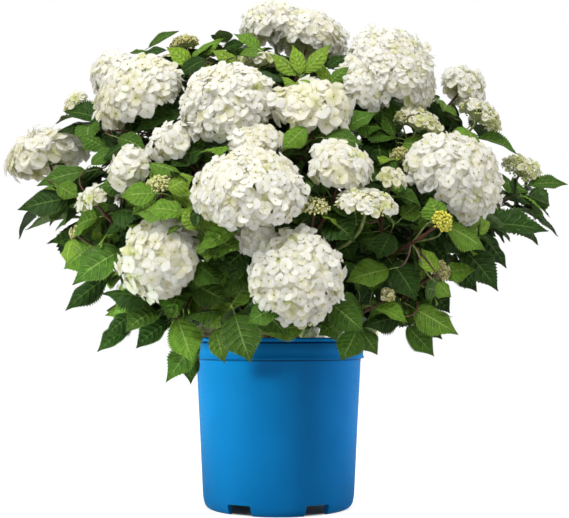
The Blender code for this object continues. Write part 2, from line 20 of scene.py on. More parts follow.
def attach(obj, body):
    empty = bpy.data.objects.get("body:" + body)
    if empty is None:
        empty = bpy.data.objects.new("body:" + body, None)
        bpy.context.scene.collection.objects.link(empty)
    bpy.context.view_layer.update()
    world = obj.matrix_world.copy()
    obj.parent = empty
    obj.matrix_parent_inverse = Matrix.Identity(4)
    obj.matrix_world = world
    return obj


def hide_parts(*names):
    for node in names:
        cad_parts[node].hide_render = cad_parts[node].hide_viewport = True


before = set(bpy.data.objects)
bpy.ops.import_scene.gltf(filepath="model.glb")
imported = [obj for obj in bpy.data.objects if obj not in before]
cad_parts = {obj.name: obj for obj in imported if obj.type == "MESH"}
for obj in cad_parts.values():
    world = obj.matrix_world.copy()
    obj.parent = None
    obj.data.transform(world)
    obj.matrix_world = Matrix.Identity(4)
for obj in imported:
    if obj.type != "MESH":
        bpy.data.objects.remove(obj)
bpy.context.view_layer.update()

# ---------------------------------------------------------------- sizes, as in the CAD
POT_HEIGHT = 0.233
POT_TOP_RADIUS = 0.115
POT_FOOT_RADIUS = 0.1052
POT_WALL = 0.002
LIP_DEPTH = 0.0285
LIP_PROUD = 0.0038
FOOT_ROUNDING = 0.020
FLOOR_UNDERSIDE = 0.016
NOTCHES = 6
NOTCH_WIDTH = 0.035
NOTCH_HEIGHT = 0.0145
MIX_BELOW_RIM = 0.016
GAP = 0.0003

CROWN_RADIUS = 0.030
CROWN_FLARE_RADIUS = 0.043
CROWN_DOME_HEIGHT = 0.012
CANE_FOOT_RADIUS = 0.0044
CANE_TIP_RADIUS = 0.0030
CANE_APART = 0.36
LOWEST_CANE = 0.16
CANE_SHARE = 0.44

STEM_RADIUS = 0.0030
SHOOT_RADIUS = 0.0025
TIP_RADIUS = 0.0020
STEM_STEPS = 4
SHOOT_STEPS = 3
CANE_STEPS = 4
CANE_SIDES = 5
SHOOT_SIDES = 4
LEAF_STALK = 0.20
STALK_WIDTH = 0.0019
CROWN_EDGES = (-0.392, 0.404, -0.326, 0.320)
LEAF_ROOT = 0.009
LEAF_SIZES = (1.0, 0.84, 0.70, 0.56)
LEAF_TURNS = ((0, 0), (20, 0), (-20, 0), (0, 22), (0, -22))
SPACE_MARGIN = 0.0006
SEED = 21

# Smaller, closer and less steep than the CAD's leaves, and none hangs as low.
LEAF_LENGTH = 0.102
LEAF_WIDTH = 0.055
PAIR_SPACING = 0.036
MOST_PAIRS = (5, 4)  # on a mass's leading shoot, and on the others
LOWEST_LEAF = 0.240
STEEPEST_LEAF = -0.36
CANE_CLEARANCE = 0.0010  # that leaves keep from a cane

MIX_TOP = POT_HEIGHT - MIX_BELOW_RIM
CROWN_CENTRE = Vector((0, 0, MIX_TOP + CROWN_DOME_HEIGHT))
HUB = Vector((0, 0, MIX_TOP + 0.018))

# ---------------------------------------------------------------- the shrub's layout
UP = Vector((0, 0, 1))

# A tip is where a shoot ends: its place, what it bears, that head's width and height along
# its own axis, and how far the axis leans outwards from upright, in degrees.
Tip = namedtuple("Tip", "x y z bears width rise lean")
Leaf = namedtuple("Leaf", "foot along normal length width")
Limb = namedtuple("Limb", "path ways flats radii")  # points, and directions at them
Shoot = namedtuple("Shoot", "limb tip leaves start_way")

OPEN, YOUNG, BUD, LEAFY = "open", "young", "bud", "leafy"

# The front view: where it is seen from, how far it looks up in degrees, and its pixels.
SEEN_FROM = (0.0082, -1.5, 0.2367)
EYE_POINT = Vector(SEEN_FROM)
CAMERA_PITCH = 4.09
FOCAL_PIXELS = 1063
VIEW_WIDTH, VIEW_HEIGHT = 569, 518

# Some of these tips differ from the CAD's in place or in size.
FRONT_MASSES = {
    "top": (
        Tip(0.043, 0.000, 0.661, OPEN, 0.112, 0.072, 15),
        Tip(-0.012, -0.004, 0.680, OPEN, 0.082, 0.062, 14),
        Tip(-0.028, -0.060, 0.611, YOUNG, 0.058, 0.026, 5),
        Tip(-0.072, -0.020, 0.648, LEAFY, 0, 0, 25),
        Tip(0.026, -0.118, 0.600, LEAFY, 0, 0, 20),
    ),
    "upper_right": (
        Tip(0.153, -0.084, 0.590, OPEN, 0.128, 0.096, 32),
        Tip(0.110, -0.112, 0.566, OPEN, 0.078, 0.060, 40),
        Tip(0.264, 0.000, 0.589, OPEN, 0.066, 0.054, 40),
        Tip(0.282, -0.030, 0.541, YOUNG, 0.064, 0.036, 35),
        Tip(0.185, -0.108, 0.516, YOUNG, 0.062, 0.034, 20),
    ),
    "right": (
        Tip(0.222, -0.170, 0.437, OPEN, 0.126, 0.096, 34),
        Tip(0.235, -0.170, 0.397, OPEN, 0.042, 0.034, 75),
        Tip(0.196, -0.236, 0.372, BUD, 0.026, 0.020, 62),
        Tip(0.139, -0.220, 0.424, YOUNG, 0.034, 0.026, 35),
        Tip(0.238, -0.115, 0.350, LEAFY, 0, 0, 65),
    ),
    "centre": (
        Tip(-0.035, -0.250, 0.409, OPEN, 0.132, 0.082, 32),
        Tip(0.075, -0.230, 0.438, OPEN, 0.076, 0.056, 22),
        Tip(0.105, -0.250, 0.389, YOUNG, 0.070, 0.036, 18),
        Tip(-0.027, -0.238, 0.355, OPEN, 0.046, 0.030, 60),
        Tip(-0.100, -0.215, 0.368, LEAFY, 0, 0, 60),
    ),
    "low_centre": (
        Tip(0.022, -0.250, 0.306, OPEN, 0.114, 0.088, 50),
        Tip(0.034, -0.240, 0.263, YOUNG, 0.034, 0.026, 80),
        Tip(0.134, -0.200, 0.285, BUD, 0.018, 0.014, 55),
        Tip(-0.056, -0.160, 0.264, LEAFY, 0, 0, 80),
        Tip(0.084, -0.145, 0.264, LEAFY, 0, 0, 80),
    ),
    "low_left": (
        Tip(-0.146, -0.200, 0.330, OPEN, 0.102, 0.078, 72),
        Tip(-0.205, -0.100, 0.312, LEAFY, 0, 0, 70),
        Tip(-0.170, -0.065, 0.276, LEAFY, 0, 0, 80),
        Tip(-0.118, -0.095, 0.258, LEAFY, 0, 0, 90),
    ),
    "upper_centre": (
        Tip(-0.066, -0.150, 0.530, OPEN, 0.122, 0.098, 30),
        Tip(0.043, -0.160, 0.525, OPEN, 0.100, 0.062, 24),
        Tip(-0.027, -0.190, 0.477, OPEN, 0.069, 0.038, 20),
        Tip(-0.134, -0.170, 0.481, OPEN, 0.054, 0.040, 45),
    ),
    "upper_left": (
        Tip(-0.187, -0.100, 0.557, OPEN, 0.118, 0.086, 35),
        Tip(-0.232, -0.040, 0.598, OPEN, 0.068, 0.054, 35),
        Tip(-0.281, -0.040, 0.557, YOUNG, 0.036, 0.026, 45),
        Tip(-0.137, 0.020, 0.658, BUD, 0.040, 0.022, 15),
        Tip(-0.187, 0.010, 0.600, LEAFY, 0, 0, 35),
    ),
    "left": (
        Tip(-0.330, 0.000, 0.492, OPEN, 0.116, 0.066, 18),
        Tip(-0.188, -0.170, 0.448, OPEN, 0.058, 0.042, 45),
        Tip(-0.236, -0.140, 0.410, YOUNG, 0.049, 0.032, 35),
        Tip(-0.146, -0.210, 0.418, BUD, 0.033, 0.022, 30),
        Tip(-0.285, -0.020, 0.415, LEAFY, 0, 0, 65),
        Tip(-0.232, -0.080, 0.362, LEAFY, 0, 0, 65),
    ),
    "far_right": (
        Tip(0.345, 0.000, 0.469, YOUNG, 0.057, 0.036, 30),
        Tip(0.330, -0.010, 0.432, LEAFY, 0, 0, 60),
        Tip(0.250, -0.030, 0.337, LEAFY, 0, 0, 70),
    ),
    "low_right": (
        Tip(0.203, -0.170, 0.317, BUD, 0.026, 0.020, 60),
        Tip(0.198, -0.090, 0.297, LEAFY, 0, 0, 75),
        Tip(0.168, -0.050, 0.275, LEAFY, 0, 0, 85),
        Tip(0.135, -0.100, 0.264, LEAFY, 0, 0, 85),
    ),
}

# The back carries the same growth by rule: one mass for each direction (azimuth from +X
# through +Y, and elevation, in degrees), out to the dome that the front heads lie on.
BACK_MASSES = {
    "back_low_right": (24, 15),
    "back_low_mid_right": (67, 13),
    "back_low_mid_left": (113, 13),
    "back_low_left": (156, 16),
    "back_right": (42, 42),
    "back_centre": (89, 41),
    "back_left": (138, 42),
    "back_top": (91, 66),
}
LOW_SIDES = ("back_low_right", "back_low_left")  # drawn in, by these amounts
BACK_NARROWER, BACK_DEEPER, BACK_SHIFT = 0.78, 1.12, 0.02
DOME_CENTRE = Vector((0.008, 0, 0.430))
DOME_RADII = Vector((0.335, 0.285, 0.265))
BACK_SPREAD = ((0, 0), (11, 10), (-11, 11), (-13, -9), (12, -11))  # azimuth, elevation
LARGE_HEADS = (0.100, 0.138)
SMALL_HEADS = (0.034, 0.066)
HEAD_RISE = 0.66  # as a share of its width
LEAST_HEAD = 0.016
HEAD_ROOM = 0.004  # between two heads


def unit_from(azimuth, elevation):
    """The unit vector of a direction given in degrees."""
    a, e = radians(azimuth), radians(elevation)
    return Vector((cos(a) * cos(e), sin(a) * cos(e), sin(e)))


def on_dome(direction):
    """Where a ray from the hub meets the dome of the heads."""
    start = Vector([(HUB[i] - DOME_CENTRE[i]) / DOME_RADII[i] for i in range(3)])
    ray = Vector([direction[i] / DOME_RADII[i] for i in range(3)])
    a, b, c = ray.dot(ray), 2 * start.dot(ray), start.dot(start) - 1
    return HUB + direction * (-b + sqrt(b * b - 4 * a * c)) / (2 * a)


def back_tips(name, azimuth, elevation):
    """The tips of one back mass: a large head, then smaller heads, buds and leafy shoots."""
    rng = Random(f"{SEED} {name}")
    tips = []
    for number, (turn, lift) in enumerate(BACK_SPREAD):
        height = elevation + lift * 1.1
        widen = 1 / max(cos(radians(height)), 0.45)
        place = on_dome(unit_from(azimuth + turn * widen + rng.uniform(-2, 2), height))
        place = HUB + (place - HUB) * rng.uniform(0.94, 1.0)
        bears = OPEN if number == 0 else rng.choice((OPEN, YOUNG, BUD, LEAFY))
        if number == 0:
            width = rng.uniform(*LARGE_HEADS)
        else:
            width = {OPEN: 1.0, YOUNG: 0.85, BUD: 0.5, LEAFY: 0}[bears] * rng.uniform(*SMALL_HEADS)
        lean = max(10, 78 - height) + rng.uniform(-8, 8)
        tips.append(Tip(*place, bears, width, width * HEAD_RISE, lean))
    return tuple(tips)


def place_of(tip):
    """Where the tip is."""
    return Vector((tip.x, tip.y, tip.z))


def clear_of_others(tip, others):
    """The tip with its head small enough to stay clear of these tips' heads."""
    rooms = [(place_of(o) - place_of(tip)).length - o.width / 2 for o in others if o.width]
    width = min(tip.width, 2 * (min(rooms) - HEAD_ROOM))
    if width > LEAST_HEAD:
        return tip._replace(width=width, rise=width * HEAD_RISE)
    return tip._replace(width=0)


def drawn_in(tip):
    """The tip further in and round to the back than in the CAD, to keep the front's outline."""
    return tip._replace(x=tip.x * BACK_NARROWER, y=tip.y * BACK_DEEPER + BACK_SHIFT)


def all_masses():
    """Each mass's name and its tips, leading shoot first."""
    masses = dict(FRONT_MASSES)
    for name, (azimuth, elevation) in BACK_MASSES.items():
        others = [tip for tips in masses.values() for tip in tips]
        tips = back_tips(name, azimuth, elevation)
        if name in LOW_SIDES:
            tips = [drawn_in(tip) for tip in tips]
        masses[name] = tuple(clear_of_others(tip, others) for tip in tips)
    return masses


def axis_of(tip):
    """The way a shoot points at its tip: up, leaning outwards from the pot's axis."""
    out = Vector((tip.x, tip.y, 0)).normalized()
    lean = radians(tip.lean)
    return out * sin(lean) + Vector((0, 0, cos(lean)))


def limb_between(start, start_way, end, end_way, steps, radii, bend=0.38):
    """A tapering limb that leaves one place and arrives at another along the given ways. Its
    flats are sides square to it that don't twist."""
    reach = (end - start).length * bend
    a, b = start + start_way * reach, end - end_way * reach
    path, ways, flats = [], [], []
    for i in range(steps + 1):
        t = i / steps
        s = 1 - t
        path.append(start * s**3 + a * 3 * s * s * t + b * 3 * s * t * t + end * t**3)
        way = (a - start) * s * s + (b - a) * 2 * s * t + (end - b) * t * t
        way.normalize()
        flat = flats[-1] if flats else way.orthogonal()
        ways.append(way)
        flats.append((flat - way * flat.dot(way)).normalized())
    first, last = radii
    return Limb(path, ways, flats, [first + (last - first) * i / steps for i in range(steps + 1)])


def mass_foot(tips):
    """Where a mass's stem starts, and its way there: part of the way to the mean of its tips."""
    mean = sum((place_of(t) for t in tips), Vector()) / len(tips)
    way = (mean - HUB).normalized()
    foot = HUB + (mean - HUB) * CANE_SHARE
    foot.z = max(foot.z, POT_HEIGHT + 0.016)
    return foot, way


def spread_ways(ways):
    """The ways in which the canes leave the crown: turned up a little, then pushed apart until
    no two canes touch on its dome."""
    found = [(way + UP * (0.14 + 0.30 * sqrt(1 - way.z**2))).normalized() for way in ways]
    for _ in range(60):
        for i, one in enumerate(found):
            for j, other in enumerate(found[:i]):
                apart = one - other
                if apart.length < CANE_APART:
                    push = apart.normalized() * (CANE_APART - apart.length) / 2
                    found[i], found[j] = (one + push).normalized(), (other - push).normalized()
                    one = found[i]
        found = [Vector((w.x, w.y, max(w.z, LOWEST_CANE))).normalized() for w in found]
    return found


def cane(foot, way, start_way):
    """A cane leaves the crown's dome squarely and swings out to the foot of its mass."""
    start = CROWN_CENTRE + start_way * (CROWN_RADIUS + GAP)
    radii = (CANE_FOOT_RADIUS, CANE_TIP_RADIUS)
    return limb_between(start, start_way, foot - way * GAP, way, CANE_STEPS, radii)


def head_foot(tip):
    """Where a shoot ends: a little inside its flower head."""
    return place_of(tip) - axis_of(tip) * tip.rise * 0.22


def along_limb(limb, distance_from_tip):
    """The point, way and flat of a limb at this distance back from its tip."""
    left = distance_from_tip
    path = limb.path
    for i in range(len(path) - 1, 0, -1):
        step = path[i] - path[i - 1]
        if left <= step.length or i == 1:
            way = step.normalized()
            flat = limb.flats[i] + limb.flats[i - 1]
            flat = (flat - way * flat.dot(way)).normalized()
            return path[i] - way * min(left, step.length), way, flat
        left -= step.length


def length_of(limb):
    """How long the limb is along its path."""
    return sum((b - a).length for a, b in zip(limb.path, limb.path[1:]))


def leaf_at(foot, way, side, rank, headed, rng):
    """One leaf of a pair: it stands off the shoot, under the head where there is one, and its
    face turns outwards and up."""
    young = rank == 0
    if headed:
        open_angle = 80 + 2 * rank
    else:
        open_angle = 54 if young else 66 + 4 * rank
    open_angle = radians(open_angle + rng.uniform(-7, 7))
    size = (0.80 if young else 1.0) * rng.uniform(0.90, 1.10)
    along = side * sin(open_angle) + way * cos(open_angle)
    along.z = max(along.z - 0.14 - 0.09 * rank, STEEPEST_LEAF)
    along.normalize()
    outwards = (foot - HUB).normalized()
    normal = way * sin(open_angle) - side * cos(open_angle) + outwards * 0.7
    normal.z += 0.25
    normal = (normal - along * normal.dot(along)).normalized()
    return Leaf(foot, along, normal, LEAF_LENGTH * size, LEAF_WIDTH * size)


def both_sides(turn, way, flat):
    """The two opposite sides of a limb at which a pair of leaves stands."""
    return [Matrix.Rotation(turn + opposite, 3, way) @ flat for opposite in (0, pi)]


def leaves_of(limb, tip, most_pairs, rng):
    """Opposite leaves in pairs, each pair turned a quarter from the one above."""
    leaves = []
    headed = tip.width > 0.03
    distance = tip.rise * 0.30 + 0.010 if headed else 0.004
    length = length_of(limb)
    turn = pi / 4 + rng.choice((0, pi / 2))
    rank = 0
    while distance < length - 0.012 and rank < most_pairs:
        foot, way, flat = along_limb(limb, distance)
        for side in both_sides(turn, way, flat):
            leaves.append(leaf_at(foot, way, side, rank, headed, rng))
        turn += pi / 2
        distance += PAIR_SPACING * rng.uniform(0.85, 1.1) * (0.75 if rank == 0 else 1)
        rank += 1
    return leaves


def side_shoot(lead, tip, number, rng):
    """A shoot that branches from a mass's leading shoot."""
    back = length_of(lead.limb) * (0.92 - 0.10 * (number - 1))
    start, start_way, _ = along_limb(lead.limb, back)
    aim = (place_of(tip) - start).normalized()
    start_way = (start_way * 0.35 + aim).normalized()
    ends = (start, start_way, head_foot(tip), axis_of(tip))
    limb = limb_between(*ends, SHOOT_STEPS, (SHOOT_RADIUS, TIP_RADIUS))
    return Shoot(limb, tip, leaves_of(limb, tip, MOST_PAIRS[1], rng), start_way)


def shoots_of(name, tips):
    """A mass's shoots: the leading one from the foot, the others branching from it."""
    rng = Random(f"{SEED} {name} shoots")
    foot, way = mass_foot(tips)
    ends = (foot, way, head_foot(tips[0]), axis_of(tips[0]))
    limb = limb_between(*ends, STEM_STEPS, (STEM_RADIUS, TIP_RADIUS))
    shoots = [Shoot(limb, tips[0], leaves_of(limb, tips[0], MOST_PAIRS[0], rng), way)]
    for number, tip in enumerate(tips[1:], 1):
        shoots.append(side_shoot(shoots[0], tip, number, rng))
    return shoots


# ---------------------------------------------------------------- the spaces of the masses
CROWN_BASE = 0.40  # above this height the crown's outline is a dome
CROWN_DOME = (0.40, 0.262)  # the dome's half width and its rise
LOW_WIDTHS = ((0.300, 0.255), (0.372, 0.310))  # below each height, half the crown's width
LOW_DEPTH = 0.90  # the crown's depth under the dome, as a share of its width
SHOWN_PART = 0.46  # of a large front head's width and height, which leaves keep clear
LEAF_SAG = 0.08  # of its length, by which a leaf may hang below its solid


class Spaces:
    """Each mass keeps to the directions, seen from the hub, that lie nearest its own tips."""

    def __init__(self, masses):
        tips = [(name, tip) for name, of_mass in masses.items() for tip in of_mass]
        self.owner = np.array([name for name, _ in tips])
        self.ways = np.array([list((place_of(tip) - HUB).normalized()) for _, tip in tips])

    def hold(self, name, points):
        """True if all these points lie in the mass's space, clear of its edge."""
        own = self.owner == name
        others = np.flatnonzero(~own)
        score = np.array([list(p - HUB) for p in points]) @ self.ways.T
        best = np.where(own, score, -np.inf).argmax(axis=1)
        for row, mine in zip(score, best):
            apart = np.linalg.norm(self.ways[mine] - self.ways[others], axis=1)
            if ((row[mine] - row[others]) / apart).min() < SPACE_MARGIN:
                return False
        return True


def tube(limb, sides, thicker=0.0):
    """Points and faces of a limb, with flat ends square to it."""
    points, faces = [], []
    for centre, way, flat, radius in zip(*limb):
        across = way.cross(flat)
        for k in range(sides):
            angle = 2 * pi * k / sides
            side = flat * cos(angle) + across * sin(angle)
            points.append(centre + side * (radius + thicker))
    last = len(points) - sides
    for low in range(0, last, sides):
        for k in range(sides):
            a, b = low + k, low + (k + 1) % sides
            faces.append((a, b, b + sides, a + sides))
    faces.append(tuple(reversed(range(sides))))
    faces.append(tuple(last + k for k in range(sides)))
    return points, faces


def leaf_solid(leaf, start=0.0002):
    """A leaf as a three-sided stalk and a blade folded along its midrib, with a drooping tip.
    It starts this far along from its foot, sunk in the shoot."""
    across = leaf.normal.cross(leaf.along)
    neck = LEAF_STALK * leaf.length

    def place(along, side, lift):
        return leaf.foot + leaf.along * along + across * side + leaf.normal * lift

    half, deep = STALK_WIDTH / 2, STALK_WIDTH * 0.9
    points = [
        place(start, half, 0),
        place(start, -half, 0),
        place(start, 0, -deep),
        place(neck, half, 0),
        place(neck, -half, 0),
        place(neck, 0, -deep),
        place(leaf.length * 0.52, leaf.width / 2, leaf.length * 0.03),
        place(leaf.length * 0.52, -leaf.width / 2, leaf.length * 0.03),
        place(leaf.length, 0, -leaf.length * 0.10),
    ]
    root_left, root_right, root_low, left, right, low, shoulder_left, shoulder_right, tip = range(9)
    faces = [
        (root_left, root_low, root_right),
        (root_left, root_right, right, left),
        (root_right, root_low, low, right),
        (root_low, root_left, left, low),
        (left, tip, shoulder_left),
        (left, right, tip),
        (right, shoulder_right, tip),
        (low, shoulder_left, tip),
        (low, tip, shoulder_right),
        (left, shoulder_left, low),
        (right, low, shoulder_right),
    ]
    return points, faces


def head_solid(tip, rng):
    """A flower head: a lumpy dome, flatter underneath, square to its shoot's axis."""
    if tip.width > 0.07:
        sides, rings = 8, (-48, 5, 48)
    elif tip.width > 0.045:
        sides, rings = 7, (-25, 35)
    else:
        sides, rings = 5, (-27, 27)
    axis = axis_of(tip)
    turn = UP.rotation_difference(axis).to_matrix()
    centre = place_of(tip)
    points = [centre - axis * tip.rise * 0.42]
    for number, degrees in enumerate(rings):
        for k in range(sides):
            angle = 2 * pi * (k + number / 2) / sides
            spread = tip.width / 2 * cos(radians(degrees)) * rng.uniform(0.96, 1.08)
            lift = tip.rise * (0.5 if degrees > 0 else 0.42) * sin(radians(degrees))
            way = Vector((cos(angle) * spread, sin(angle) * spread, lift * rng.uniform(0.95, 1.05)))
            points.append(centre + turn @ way)
    points.append(centre + axis * tip.rise * 0.5)
    last = len(points) - 1
    faces = []
    for k in range(sides):
        j = (k + 1) % sides
        faces += [(0, 1 + j, 1 + k), (last, last - sides + k, last - sides + j)]
        for a in range(1, 1 + (len(rings) - 1) * sides, sides):
            b = a + sides
            faces += [(a + k, a + j, b + k), (a + j, b + j, b + k)]
    return points, faces


def tree_of(points, faces):
    """A search tree of a mesh, to find what touches it."""
    return BVHTree.FromPolygons([tuple(p) for p in points], faces)


def twigs_and_heads(name, shoots):
    """The CAD's shoots and flower heads of a mass, which leaves keep clear of."""
    rng = Random(f"{SEED} {name} heads")
    made = [tube(shoot.limb, SHOOT_SIDES) for shoot in shoots]
    for shoot in shoots:
        if shoot.tip.width:
            made.append(head_solid(shoot.tip, rng))
    return made


def leaves_by_rank(shoots):
    """The outermost pair of every shoot first, then the next pairs in turn."""
    longest = max(len(shoot.leaves) for shoot in shoots)
    for first in range(0, longest, 2):
        for shoot in shoots:
            for leaf in shoot.leaves[first : first + 2]:
                yield leaf, shoot, first // 2


def outside_crown(point):
    """True beyond the crown's outline."""
    left, right, front, back = CROWN_EDGES
    if not (left < point.x < right and front < point.y < back):
        return True
    half, rise = CROWN_DOME
    if point.z > CROWN_BASE:
        return (point.x / half) ** 2 + ((point.z - CROWN_BASE) / rise) ** 2 > 1
    widest = next((width for top, width in LOW_WIDTHS if point.z < top), half)
    return (point.x / widest) ** 2 + (point.y / (widest * LOW_DEPTH)) ** 2 > 1


def hides_head(points):
    """True where a leaf would stand before one of the large front heads, as seen from in front."""
    for tip in SHOWN_HEADS:
        half = tip.width * SHOWN_PART
        high = max(tip.rise, tip.width * 0.6) * SHOWN_PART
        for point in points:
            if point.y > tip.y:
                continue
            ahead = (point.y - EYE_POINT.y) / (tip.y - EYE_POINT.y)
            across = (point.x - EYE_POINT.x) / ahead + EYE_POINT.x - tip.x
            up = (point.z - EYE_POINT.z) / ahead + EYE_POINT.z - tip.z
            if (across / half) ** 2 + (up / high) ** 2 < 1:
                return True
    return False


class Taken:
    """Solids that are in the way, sorted out by the spheres round them."""

    def __init__(self):
        self.trees = []
        self.spheres = np.empty((0, 4))

    def add(self, points, faces):
        """Counts a solid among those in the way."""
        self.trees.append(tree_of(points, faces))
        self.spheres = np.vstack([self.spheres, self.sphere_of(points)])

    @staticmethod
    def sphere_of(points):
        """The centre and radius of a sphere round these points."""
        array = np.array([tuple(p) for p in points])
        centre = (array.min(axis=0) + array.max(axis=0)) / 2
        return np.append(centre, np.linalg.norm(array - centre, axis=1).max() + 1e-6)

    def touch(self, points, faces):
        """True if the solid cuts one that is in the way."""
        x, y, z, radius = self.sphere_of(points)
        apart = np.linalg.norm(self.spheres[:, :3] - (x, y, z), axis=1)
        near = np.flatnonzero(apart < self.spheres[:, 3] + radius)
        if not len(near):
            return False
        own = tree_of(points, faces)
        return any(self.trees[i].overlap(own) for i in near)


def swung_leaf(leaf, sideways, down, size=1.0):
    """The leaf, turned on its face and about its width, in degrees, and made smaller."""
    turn = Matrix.Rotation(radians(sideways), 3, leaf.normal)
    turn = turn @ Matrix.Rotation(radians(down), 3, leaf.normal.cross(leaf.along))
    sizes = (leaf.length * size, leaf.width * size)
    return Leaf(leaf.foot, turn @ leaf.along, turn @ leaf.normal, *sizes)


def fit_leaf(leaf, name, spaces, taken, sizes=LEAF_SIZES):
    """The leaf, turned or shortened until it keeps to its mass's space and its blade is clear
    of what is there, or None where it can't."""
    for size in sizes:
        for sideways, down in LEAF_TURNS:
            tried = swung_leaf(leaf, sideways, down, size)
            points, _ = leaf_solid(tried)
            lowest = min(p.z for p in points) - LEAF_SAG * tried.length
            if lowest < LOWEST_LEAF or any(outside_crown(p) for p in points) or hides_head(points):
                continue
            edges = [(points[a] + points[b]) / 2 for a, b in ((6, 8), (7, 8), (3, 6), (4, 7))]
            if spaces and not spaces.hold(name, points + edges):
                continue
            if not taken.touch(*leaf_solid(tried, LEAF_ROOT)):
                return tried
    return None


# ---------------------------------------------------------------- finer growth
# Small heads of the front that the CAD leaves out, with the mass that each grows in.
EXTRA_TIPS = {
    "centre": (Tip(0.044, -0.236, 0.388, BUD, 0.034, 0.022, 20),),
    "upper_right": (Tip(0.157, -0.140, 0.464, BUD, 0.024, 0.026, 15),),
    "left": (Tip(-0.270, -0.090, 0.372, BUD, 0.018, 0.014, 50),),
    "upper_left": (Tip(-0.161, 0.020, 0.635, BUD, 0.018, 0.015, 20),),
    "top": (Tip(-0.099, -0.030, 0.609, BUD, 0.022, 0.018, 20),),
}
Sprig = namedtuple("Sprig", "path radii kind")  # a fine twig
AGES = ("bright", "fresh", "green", "deep")  # of leaves, youngest first
Grown = namedtuple("Grown", "leaf age kind")  # kind: large or small, and posed if it lies as set

